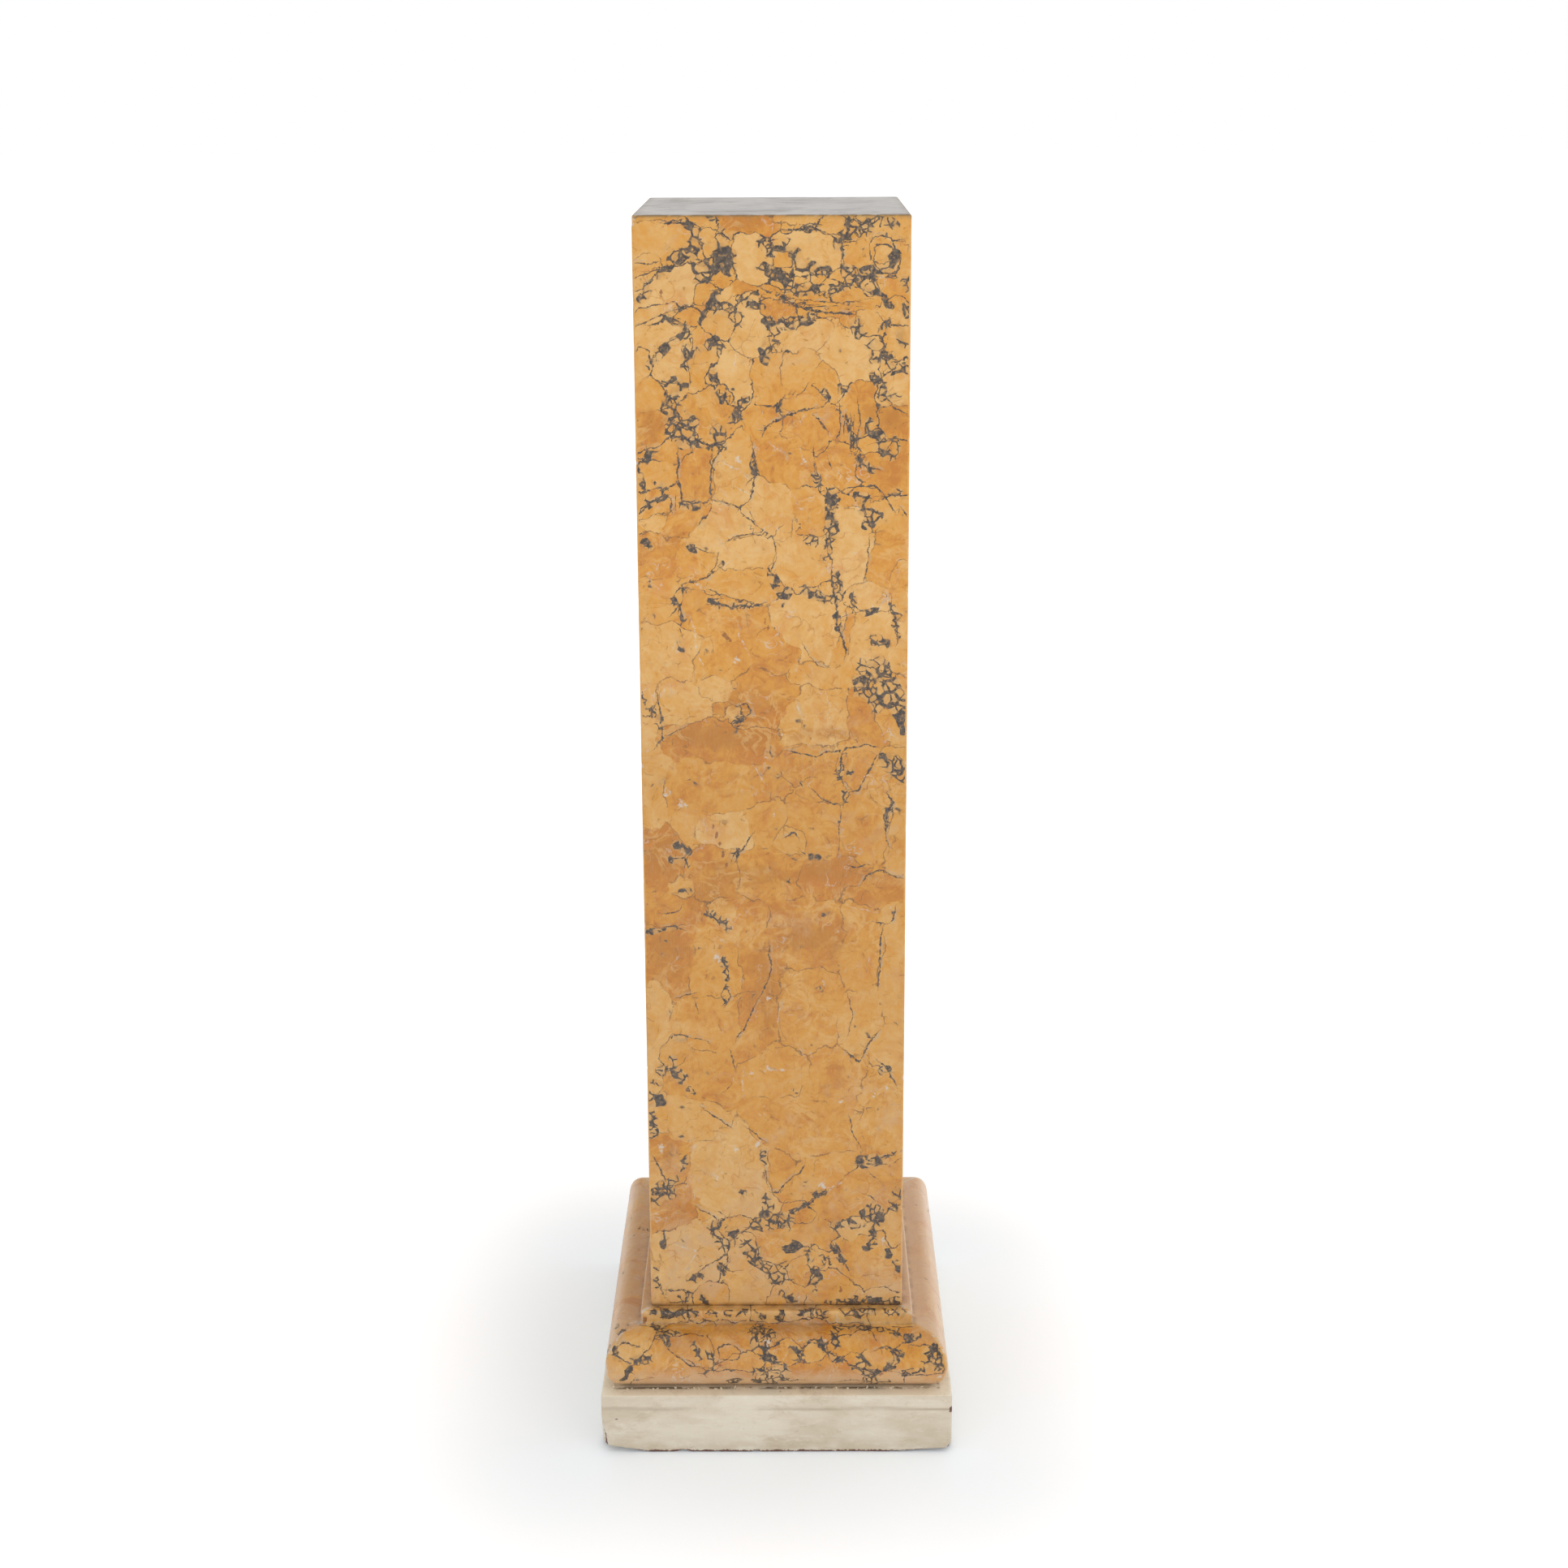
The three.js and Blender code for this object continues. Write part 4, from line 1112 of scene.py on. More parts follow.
    def chalk(self):
        """White chips at the drawn spots, and thin whitish wisps."""
        nodes = self.nodes
        spot = nodes.attribute("chalk")
        ragged = nodes.swing(nodes.bend(self.place, 6.0, 2.5, 1.0), 4.2, 3.0, 0.7)
        ragged = nodes.math("MULTIPLY_ADD", ragged, 3.4, nodes.product(spot, 0.8))
        chips = nodes.product(nodes.band(ragged, 0.5, 0.95, 0.0, 0.75), nodes.band(spot, 0.02, 0.3))
        wisp = nodes.level_line(nodes.grain(self.flowing, 22.0, 3.0, 0.6), 0.47)
        wisp_here = nodes.band(nodes.grain(self.bent, 30.0, 3.0), 0.57, 0.66)
        wisps = nodes.product(nodes.band(wisp, 0.02, 0.0, 0.0, 0.5), wisp_here)
        self.lay(nodes.math("MAXIMUM", chips, wisps), self.colours.chalk)

    def seam_veins(self):
        """Dark veins along the seams, broken and uneven."""
        nodes = self.nodes
        about = nodes.product(nodes.attribute("about"), 0.28)
        stroke = nodes.grain(self.place, 24.0, 3.0, 0.65)
        stroke = nodes.math("MULTIPLY_ADD", nodes.attribute("richness"), 0.36, stroke)
        strength = nodes.band(nodes.math("ADD", stroke, about), 0.76, 1.1)
        breadth = nodes.product(strength, nodes.math("MULTIPLY_ADD", self.uneven, 3.2, -1.0))
        edge = nodes.math("SUBTRACT", breadth, nodes.math("ABSOLUTE", self.seam_side))
        vein = nodes.product(nodes.band(edge, -0.35, 0.25), nodes.band(self.seam_near, 5.0, 3.4))
        return nodes.product(vein, nodes.band(strength, 0.02, 0.3))

    def drawn_veins(self):
        """The drawn dark veins; lays the drawn wisps, the gashes and the ash beside the veins."""
        nodes = self.nodes
        width = nodes.attribute("vein_width")
        near = nodes.band(nodes.attribute("vein_near"), 5.0, 3.6)
        side = nodes.math("MULTIPLY_ADD", self.shake, 3.6, nodes.attribute("vein_side"))
        half = nodes.math("MULTIPLY_ADD", self.uneven, 1.9, -0.62)
        half = nodes.product(nodes.math("ABSOLUTE", width), half)
        edge = nodes.math("SUBTRACT", half, nodes.math("ABSOLUTE", side))
        line = nodes.product(nodes.band(edge, -0.35, 0.3), near)
        is_dark = nodes.math("GREATER_THAN", width, 0.0)
        broken = nodes.band(nodes.grain(self.place, 5.0, 4.0, 0.7), 0.42, 0.62, 0.05, 0.75)
        is_wisp = nodes.math("SUBTRACT", 1.0, is_dark)
        self.lay(nodes.product(line, is_wisp, broken), self.colours.chalk)
        gash = nodes.math("MULTIPLY_ADD", self.speckle, 1.4, nodes.attribute("gash"))
        self.lay(nodes.band(gash, 0.35, 0.7, 0.0, 0.8), GASH_BROWN)
        beside = nodes.band(nodes.level_line(side, 2.0), 1.5, 0.2, 0.0, 0.5)
        patches = nodes.band(nodes.grain(self.bent, 16.0, 3.0), 0.5, 0.62)
        self.lay(nodes.product(beside, patches, near), ASH_GREY)
        return nodes.product(line, is_dark)

    def matrix_core(self):
        """How deep in the pebbly matrix a place is, with an uneven edge."""
        nodes = self.nodes
        uneven_edge = nodes.swing(self.place, 12.0, 1.0)
        return nodes.math("MULTIPLY_ADD", uneven_edge, 1.5, nodes.attribute("matrix"))

    def pebbles(self):
        """Dark between pebbles of two sizes, thicker where they meet, and the small ones' colour."""
        nodes = self.nodes
        jagged = nodes.bend(nodes.bend(self.place, 13.0, 4.2, 1.0), 4.0, 0.7, 1.0)
        half_dark = nodes.product(
            nodes.band(self.core, 0.3, 0.5),
            nodes.math("MULTIPLY_ADD", self.core, 0.85, 0.12),
            nodes.math("MULTIPLY_ADD", self.uneven, 2.4, -0.3),
        )
        clot = nodes.band(nodes.grain(self.place, 11.0, 1.0), 0.36, 0.64)
        corner_at = nodes.math("MULTIPLY_ADD", clot, -0.08, 0.71)
        corner_at = nodes.math("SUBTRACT", corner_at, nodes.product(self.core, 0.08))
        graded = []
        for cell in PEBBLE_CELLS:
            edge = nodes.product(nodes.cells(jagged, cell)["Distance"], cell)
            rounded = nodes.cells(jagged, cell, "F1")
            corner = nodes.math("SUBTRACT", rounded["Distance"], corner_at)
            between = nodes.band(nodes.math("SUBTRACT", half_dark, edge), -0.3, 0.3)
            graded.append(nodes.math("MAXIMUM", between, nodes.band(corner, -0.05, 0.05)))
        grade = nodes.band(nodes.grain(self.place, 19.0, 1.0), 0.42, 0.58)
        thick = nodes.blend(nodes.band(grade, 0.4, 0.6), *graded)
        thick = nodes.product(thick, nodes.band(self.core, 0.3, 0.42))
        tone = nodes.add("ShaderNodeSeparateColor", {0: rounded["Color"]}).outputs[0]
        return thick, nodes.mix(tone, self.colours.pale, self.colours.ochre)

    def darkness(self, seams, drawn, thick):
        """All that is dark, a little worn."""
        nodes = self.nodes
        dark = nodes.math("MAXIMUM", nodes.math("MAXIMUM", seams, drawn), thick)
        return nodes.product(dark, nodes.band(nodes.grain(self.place, 2.6), 0.28, 0.5, 0.5, 1.0))

    def between_the_dark(self, pebble_colour):
        """The pebbles' own colour, the smoky ground round them, and a painted reflection: sheen on the
        base's right side and bounce light low on its front.
        """
        nodes = self.nodes
        self.lay(nodes.band(self.core, 0.3, 0.5, 0.0, 0.6), pebble_colour)
        patches = nodes.band(nodes.grain(self.place, 7.0, 3.0), 0.4, 0.65, 0.05, 0.34)
        self.lay(nodes.product(nodes.band(self.core, 0.05, 0.7), patches), SMOKE_BROWN)
        self.lay(nodes.attribute("haze"), HAZE)

    def colour(self):
        """The ground and the dark together, under a painted shade that darkens the shaft below about 0.86 m
        and the base's left side and front.
        """
        nodes = self.nodes
        deeper = nodes.band(nodes.grain(self.place, 5.0, 3.0), 0.35, 0.6)
        ink = nodes.mix(deeper, self.colours.matrix, self.colours.matrix_deep)
        body = nodes.mix(self.dark, self.ground, ink)
        return nodes.mix(nodes.attribute("patina"), body, PATINA, "MULTIPLY")


def scagliola():
    """Honey and ochre clasts in a broken dark matrix, polished and a little worn."""
    colours = named("column_colours")
    material, nodes, shader, place = new_material("scagliola", 0.3)
    marbling = Marbling(nodes, place, colours)
    wear = nodes.effect("Arris Wear", {"Place": place, "Wear": nodes.attribute("wear")})["Mask"]
    grime = nodes.effect("Grime", {
        "Place": place, "Crevice": nodes.attribute("crevice"), "Amount": 0.1,
    })
    scratches = nodes.effect("Fine Scratches", {"Place": place, "Share": 0.5})["Mask"]
    broken = nodes.band(nodes.grain(place, 9.0, 3.0), 0.3, 0.55, 0.35, 0.9)
    body = nodes.layers(
        marbling.colour(),
        (nodes.product(wear, 0.7), colours.chalk),
        (nodes.product(nodes.attribute("rim"), broken), RIM_BROWN),
        # Dirt patches, and painted shade in recesses and at joints
        (nodes.product(grime["Mask"], 0.5), CREVICE_BROWN),
        (nodes.product(scratches, 0.16), colours.chalk),
    )
    nodes.feed(shader.inputs["Base Color"], body)
    gloss = nodes.math("MULTIPLY_ADD", nodes.grain(place, 34.0, 5.0, 0.6), 0.22, 0.18)
    gloss = nodes.math("MULTIPLY_ADD", marbling.dark, 0.1, gloss)
    gloss = nodes.math("MULTIPLY_ADD", nodes.math("MAXIMUM", wear, scratches), 0.25, gloss)
    nodes.feed(shader.inputs["Roughness"], gloss)
    height = nodes.math("MULTIPLY_ADD", marbling.dark, -0.35, nodes.grain(place, 1.6, 3.0))
    pits = nodes.math("MAXIMUM", grime["Specks"], scratches)
    nodes.relief(shader, 0.12, 0.6 * MM, nodes.math("MULTIPLY_ADD", pits, -0.6, height))
    return material


def grey_paint():
    """Matt grey paint on the shaft's top, streaked across and rubbed brown at its edges."""
    colours = named("column_colours")
    material, nodes, shader, place = new_material("grey_top_paint", 0.55)
    shader.inputs["Specular IOR Level"].default_value = 0.15
    streaks = nodes.grain(nodes.stretch(nodes.bend(place, 80.0, 6.0), (0.1, 1.0, 1.0)), 12.0, 5.0, 0.65)
    patches = nodes.grain(nodes.bend(place, 60.0, 20.0), 44.0, 6.0, 0.66)
    rubbed = nodes.product(nodes.band(streaks, 0.46, 0.62), nodes.band(patches, 0.4, 0.62, 0.1, 0.9))
    broken = nodes.band(nodes.grain(place, 9.0, 3.0), 0.3, 0.6, 0.3, 0.9)
    wear = nodes.effect("Arris Wear", {"Place": place, "Wear": nodes.attribute("wear")})["Mask"]
    # No recess value is given here, so this mask is dirt only
    grime = nodes.effect("Grime", {"Place": place, "Amount": 0.35})["Mask"]
    body = nodes.layers(
        colours.grey_paint,
        (rubbed, RUBBED_GREY),
        (nodes.band(patches, 0.56, 0.4, 0.0, 0.8), FRESH_GREY),
        (nodes.product(nodes.attribute("rim"), broken), TOP_RIM_BROWN),
        (wear, TOP_WORN_BROWN),
        (nodes.product(grime, 0.3), TOP_GRIME),
    )
    nodes.feed(shader.inputs["Base Color"], body)
    nodes.feed(shader.inputs["Roughness"], nodes.math("MULTIPLY_ADD", streaks, 0.25, 0.42))
    nodes.relief(shader, 0.25, 0.6 * MM, streaks)
    return material


def cream_paint():
    """Cream paint on the plinth, dirty in streaks, with primer where it has chipped away, painted shade and
    a painted shadow line under the torus, and painted light on its top face.
    """
    colours = named("column_colours")
    material, nodes, shader, place = new_material("cream_paint", 0.5)
    brushing = nodes.grain(nodes.stretch(place, (0.1, 0.1, 1.0)), 4.0, 5.0, 0.65)
    smudges = nodes.stretch(nodes.bend(place, 40.0, 12.0), (0.5, 0.5, 1.3))
    smudges = nodes.grain(smudges, 26.0, 6.0, 0.7)
    scuffs = nodes.grain(nodes.bend(place, 12.0, 5.0), 9.0, 6.0, 0.8)
    specks = nodes.grain(place, 2.4, 3.0, 0.8)
    streaks = nodes.grain(nodes.stretch(nodes.bend(place, 9.0, 4.0), (0.3, 0.3, 1.0)), 5.0, 5.0, 0.75)
    broken = nodes.band(nodes.grain(place, 14.0, 3.0, 0.6), 0.42, 0.56)
    grime = nodes.effect("Grime", {
        "Place": nodes.stretch(place, (0.45, 0.45, 1.0)),
        "Crevice": nodes.attribute("crevice"), "Amount": 0.8,
    })
    wear = nodes.effect("Arris Wear", {
        "Place": place, "Wear": nodes.attribute("wear"), "Raggedness": 0.9,
    })["Mask"]
    body = nodes.layers(
        colours.cream_paint,
        (nodes.band(brushing, 0.42, 0.72, 0.0, 0.45), BRUSHED_CREAM),
        # Dirt patches, painted shade on the ledge under the torus, and dirt at the foot
        (nodes.product(grime["Mask"], 0.9), colours.cream_dirt),
        # The top face painted lighter: painted light
        (nodes.attribute("ledge"), LEDGE_CREAM),
        (nodes.band(smudges, 0.54, 0.74, 0.0, 0.6), SMUDGE_BEIGE),
        (nodes.band(scuffs, 0.6, 0.74, 0.0, 0.5), SCUFF_BEIGE),
        (nodes.band(specks, 0.66, 0.74, 0.0, 0.8), DARK_SPECK),
        (nodes.band(specks, 0.36, 0.28, 0.0, 0.5), PALE_SPECK),
        (nodes.band(streaks, 0.54, 0.74, 0.0, 0.35), STREAK_BEIGE),
        (nodes.band(streaks, 0.46, 0.34, 0.0, 0.25), STREAK_CREAM),
        (nodes.attribute("groove"), GROOVE_BEIGE),
        # A broken dark line under the torus's edge: a gap with painted shadow
        (nodes.product(nodes.attribute("joint"), broken), GAP_BROWN),
        (nodes.product(grime["Specks"], 0.85), GRIME_SPECK),
        (wear, nodes.mix(nodes.grain(place, 5.0, 3.0), colours.primer, DARK_PRIMER)),
    )
    nodes.feed(shader.inputs["Base Color"], body)
    nodes.feed(shader.inputs["Roughness"], nodes.math("MULTIPLY_ADD", grime["Mask"], 0.2, 0.42))
    height = nodes.math("MULTIPLY_ADD", wear, -0.8, nodes.product(brushing, 0.5))
    nodes.relief(shader, 0.35, 0.8 * MM, nodes.math("SUBTRACT", height, grime["Specks"]))
    return material


def old_filler():
    """The crumbs of painted filler along the joint."""
    colours = named("column_colours")
    material, nodes, shader, place = new_material("old_filler", 0.8)
    shade = nodes.grain(place, 2.0, 3.0, 0.6)
    body = nodes.mix(nodes.band(shade, 0.4, 0.65), FILLER_CREAM, colours.cream_dirt)
    nodes.feed(shader.inputs["Base Color"], body)
    nodes.relief(shader, 0.5, 0.4 * MM, shade)
    return material


def studio_floor():
    """Plain pale floor that glows as painted light, less and bluer near the plinth as a painted shadow."""
    colours = named("column_colours")
    material, nodes, shader, place = new_material("studio_floor", 0.9)
    shade = nodes.grain(place, 400.0)
    nodes.feed(shader.inputs["Base Color"], nodes.mix(shade, colours.floor, FLOOR_WHITE))
    shader.inputs["Specular IOR Level"].default_value = 0.1
    beyond = nodes.vector("SUBTRACT", nodes.vector("ABSOLUTE", place), (PLINTH_HALF,) * 3)
    beyond = nodes.vector("MAXIMUM", beyond)
    away = nodes.add("ShaderNodeVectorMath", {0: beyond}, operation="LENGTH").outputs["Value"]
    # The floor glows as painted light, weaker and bluer near the plinth as a painted shadow
    nodes.feed(shader.inputs["Emission Strength"], nodes.band(away, 0.0, 0.4, 0.11, 0.39))
    cool = nodes.mix(nodes.band(away, 0.0, 0.22), (0.55, 0.8, 1.0), (1.0, 1.0, 1.0))
    nodes.feed(shader.inputs["Emission Color"], cool)
    return material


# Pieces

# How far the flat of an underside is carried in from its edge before the centre closes it
UNDERSIDE = 30 * MM

# Heights in metres on the shaft: where its painted shade (darker downwards, for light falling from above)
# begins and is full, where it begins to thin and is thinnest, and where dust begins
PATINA_FROM, PATINA_FULL = 0.86, 0.66
THINNING_FROM, THINNEST = 0.24, 0.14
DUST_FROM = 0.42


def arris_distance(places, outline_half, low, high):
    """How far each place is from the nearest arris, in metres: the second of three distances."""
    to_side = np.abs(outline_half - np.maximum(np.abs(places[:, 0]), np.abs(places[:, 1])))
    to_other = np.abs(outline_half - np.minimum(np.abs(places[:, 0]), np.abs(places[:, 1])))
    to_end = np.minimum(np.abs(places[:, 2] - low), np.abs(places[:, 2] - high))
    distances = np.sort(np.stack([to_side, to_other, to_end], axis=1), axis=1)
    return distances[:, 1]


class COLUMN_OT_shaft(bpy.types.Operator):
    """Build the marbled shaft with its grey painted top"""

    bl_idname = "column.shaft"
    bl_label = "Shaft"

    def execute(self, context):
        sizes = named("column_sizes")
        half = SHAFT_HALF
        foot = sizes.shaft_foot_ease
        top = sizes.shaft_top_arris
        section = finely([
            (half - foot - UNDERSIDE, SHAFT_FOOT), (half - foot, SHAFT_FOOT),
            (half, SHAFT_FOOT + foot), (half, SHAFT_TOP - top),
        ], sizes.front_pitch)
        section += arc(half - top, SHAFT_TOP - top, top, top, 0, 90, 4)[1:]
        section += finely([section[-1], (3 * MM, SHAFT_TOP)], 6 * MM)[1:]
        run = SquareRun(section, sizes.shaft_arris, sizes.front_pitch, sizes.side_pitch)
        mesh = run.mesh("shaft_finish")
        run.along -= UNDERSIDE + foot
        front = (FRONT_CLASTS, FRONT_MATRIX, FRONT_VEINS, FRONT_CHALK, FRONT_CLOUDS, FRONT_GASHES)
        height = SHAFT_TOP - SHAFT_FOOT
        lay_marbling(mesh, run, front, shaft_richness, DRAWN_SHAFT, height, cell=46, seed=11)
        self.wear(mesh)
        piece = add_piece("shaft_finish", mesh, ["shaft"], [scagliola(), grey_paint()])
        self.paint_top(piece.data)
        return {"FINISHED"}

    @staticmethod
    def wear(mesh):
        """Nibbles the arrises, takes off the worn top corner at front left and rolls the faces a little."""
        places = coordinates(mesh)
        near = arris_distance(places, SHAFT_HALF, SHAFT_FOOT, SHAFT_TOP)
        nibble = ease(roughly(places, 14 * MM, 8) * 0.7 + roughly(places, 5 * MM, 9) * 0.5, 0.25, 0.75)
        nibble *= ease(near, 3.2 * MM, 0.6 * MM)
        places -= np.sign(places) * np.array([1.0, 1.0, 0.0]) * (nibble * 0.9 * MM)[:, None]
        corner = np.array([-SHAFT_HALF, -SHAFT_HALF, SHAFT_TOP])
        away = np.linalg.norm((places - corner) / np.array([1.0, 1.0, 1.6]), axis=1)
        chip = ease(away, 7 * MM, 1 * MM)
        places += np.array([1.0, 1.0, -1.0]) * (chip * 1.8 * MM)[:, None]
        on_side = np.abs(places[:, 0]) > np.abs(places[:, 1])
        outward = np.sign(places) * np.stack([on_side, ~on_side, np.zeros_like(on_side)], axis=1)
        on_face = (places[:, 2] < SHAFT_TOP - 4 * MM) & (places[:, 2] > SHAFT_FOOT + 2 * MM)
        rolling = np.abs(roughly(places, 120 * MM, 4) * 0.25 * MM)
        places -= outward * np.where(on_face, rolling, 0.0)[:, None]
        on_top = places[:, 2] > SHAFT_TOP - 0.1 * MM
        places[:, 2] -= np.where(on_top, np.abs(roughly(places, 60 * MM, 5)) * 0.35 * MM, 0.0)
        set_coordinates(mesh, places)
        up = places[:, 2]
        # patina: painted shade below about 0.86 m for light falling from above, thinner near the foot;
        # crevice: painted shade at the joint at the foot; dust: beige towards the foot, partly real and
        # partly painted shade
        give(
            mesh,
            wear=np.maximum(nibble * 0.75, chip * 0.6),
            crevice=ease(up, SHAFT_FOOT + 5 * MM, SHAFT_FOOT),
            patina=ease(up, PATINA_FROM, PATINA_FULL) * (1.0 - 0.4 * ease(up, THINNING_FROM, THINNEST)),
            haze=np.zeros(len(up)),
            dust=0.5 * ease(up, DUST_FROM, SHAFT_FOOT),
            rim=ease(near, 3.4 * MM, 0.6 * MM) * (up > SHAFT_TOP - 3.6 * MM),
        )

    @staticmethod
    def paint_top(mesh):
        """Gives the top face its grey paint."""
        for polygon in mesh.polygons:
            high = polygon.center.z > SHAFT_TOP - 1.0 * MM
            polygon.material_index = 1 if high and polygon.normal.z > 0.75 else 0


class COLUMN_OT_base_moulding(bpy.types.Operator):
    """Build the fillet and torus of the base moulding"""

    bl_idname = "column.base_moulding"
    bl_label = "Base moulding"

    def execute(self, context):
        sizes = named("column_sizes")
        fillet_half = SHAFT_HALF + sizes.fillet_projection
        spring = MOULDING_HALF - sizes.torus_bulge
        ledge = MOULDING_TOP - sizes.fillet_height
        rise = (ledge - MOULDING_FOOT) / 2
        cove = sizes.fillet_cove
        ease_top = sizes.fillet_arris
        section = finely([(spring - UNDERSIDE, MOULDING_FOOT), (spring, MOULDING_FOOT)], 8 * MM)
        section += arc(spring, MOULDING_FOOT + rise, sizes.torus_bulge, rise, -90, 90, 36)[1:]
        section += arc(fillet_half + cove, ledge + cove, cove, cove, 270, 180, 4)
        section += arc(fillet_half - ease_top, MOULDING_TOP - ease_top, ease_top, ease_top, 0, 90, 4)
        height = sum(math.dist(a, b) for a, b in zip(section, section[1:])) - UNDERSIDE
        section = finely(section, sizes.front_pitch)
        section += finely([section[-1], (SHAFT_HALF - 20 * MM, MOULDING_TOP)], 6 * MM)[1:]
        run = SquareRun(section, sizes.mitre_radius, sizes.front_pitch, sizes.front_pitch)
        mesh = run.mesh("base_moulding_finish")
        run.along -= UNDERSIDE
        front = (BASE_CLASTS, BASE_MATRIX, BASE_VEINS, BASE_CHALK, BASE_CLOUDS, BASE_GASHES)
        lay_marbling(
            mesh, run, front, base_richness, DRAWN_BASE, height, cell=38, seed=23, plainer=0.35,
        )
        self.wear(mesh, ledge, fillet_half)
        add_piece("base_moulding_finish", mesh, ["base_moulding"], [scagliola()])
        return {"FINISHED"}

    @staticmethod
    def wear(mesh, ledge, fillet_half):
        """Lets the torus wander a little, and marks chips on the arrises, painted shade in the corners, the
        recesses and on the left side, and a painted reflection on the right side with painted bounce light
        low on the front.
        """
        places = coordinates(mesh)
        up = places[:, 2]
        half = np.maximum(np.abs(places[:, 0]), np.abs(places[:, 1]))
        side = np.minimum(np.abs(places[:, 0]), np.abs(places[:, 1]))
        shrink = roughly(places, 90 * MM, 6) * 0.5 + roughly(places, 22 * MM, 7) * 0.2 - 0.6
        shrink *= 0.5 * MM / np.maximum(half, 1 * MM)
        on_torus = (up < ledge - 2 * MM) & (up > MOULDING_FOOT + 2 * MM)
        places[:, :2] *= 1 + np.where(on_torus, shrink, 0.0)[:, None]
        set_coordinates(mesh, places)
        at_top = np.abs(up - MOULDING_TOP)
        beyond = half - fillet_half
        mitre = ease(half - side, 6 * MM, 1 * MM) * ease(up, MOULDING_FOOT, MOULDING_FOOT + 20 * MM)
        chips = ease(roughly(places, 8 * MM, 12), 0.25, 0.6)
        fillet_edge = ease(at_top, 4 * MM, 0.0) * ease(np.abs(beyond), 4 * MM, 1 * MM)
        inner = ease(np.abs(up - ledge), 3 * MM, 0.0) * ease(beyond, 6 * MM, 1 * MM)
        under = ease(up, MOULDING_FOOT + 9 * MM, MOULDING_FOOT)
        shelf = ease(at_top, 1 * MM, 0.0) * ease(half - SHAFT_HALF, 9 * MM, 2 * MM)
        on_fillet = ease(up, ledge + 1 * MM, ledge + 3 * MM)
        low = ease(up, MOULDING_FOOT + 34 * MM, MOULDING_FOOT + 4 * MM)
        at_front = (places[:, 1] < 0) & (np.abs(places[:, 1]) >= np.abs(places[:, 0]) - 1 * MM)
        on_left = (places[:, 0] < 0) & ~at_front
        clear = 0.3 - 0.3 * np.maximum(low, on_fillet)
        # patina: painted shade on the left side and, at 0.3, on the front above the low torus and the
        # fillet; haze: painted sheen on the right side and painted bounce light low on the front; dust:
        # strong on the sides and low on the front, where it also stands for painted bounce light; crevice:
        # painted shade in the cove, under the torus and on the fillet's top by the shaft
        give(
            mesh,
            wear=np.clip(mitre * 0.5 + chips * np.maximum(mitre, fillet_edge) * 0.5, 0, 1),
            crevice=np.maximum.reduce([inner, under * 0.4, shelf * 0.8]),
            patina=np.where(at_front, clear, np.where(on_left, 1.0, 0.0)),
            dust=np.where(at_front, 0.3 + 0.9 * low + 0.15 * on_fillet, 0.9),
            haze=np.where(at_front, 0.22 * low, np.where(on_left, 0.0, 0.38)),
            rim=np.zeros(len(up)),
        )


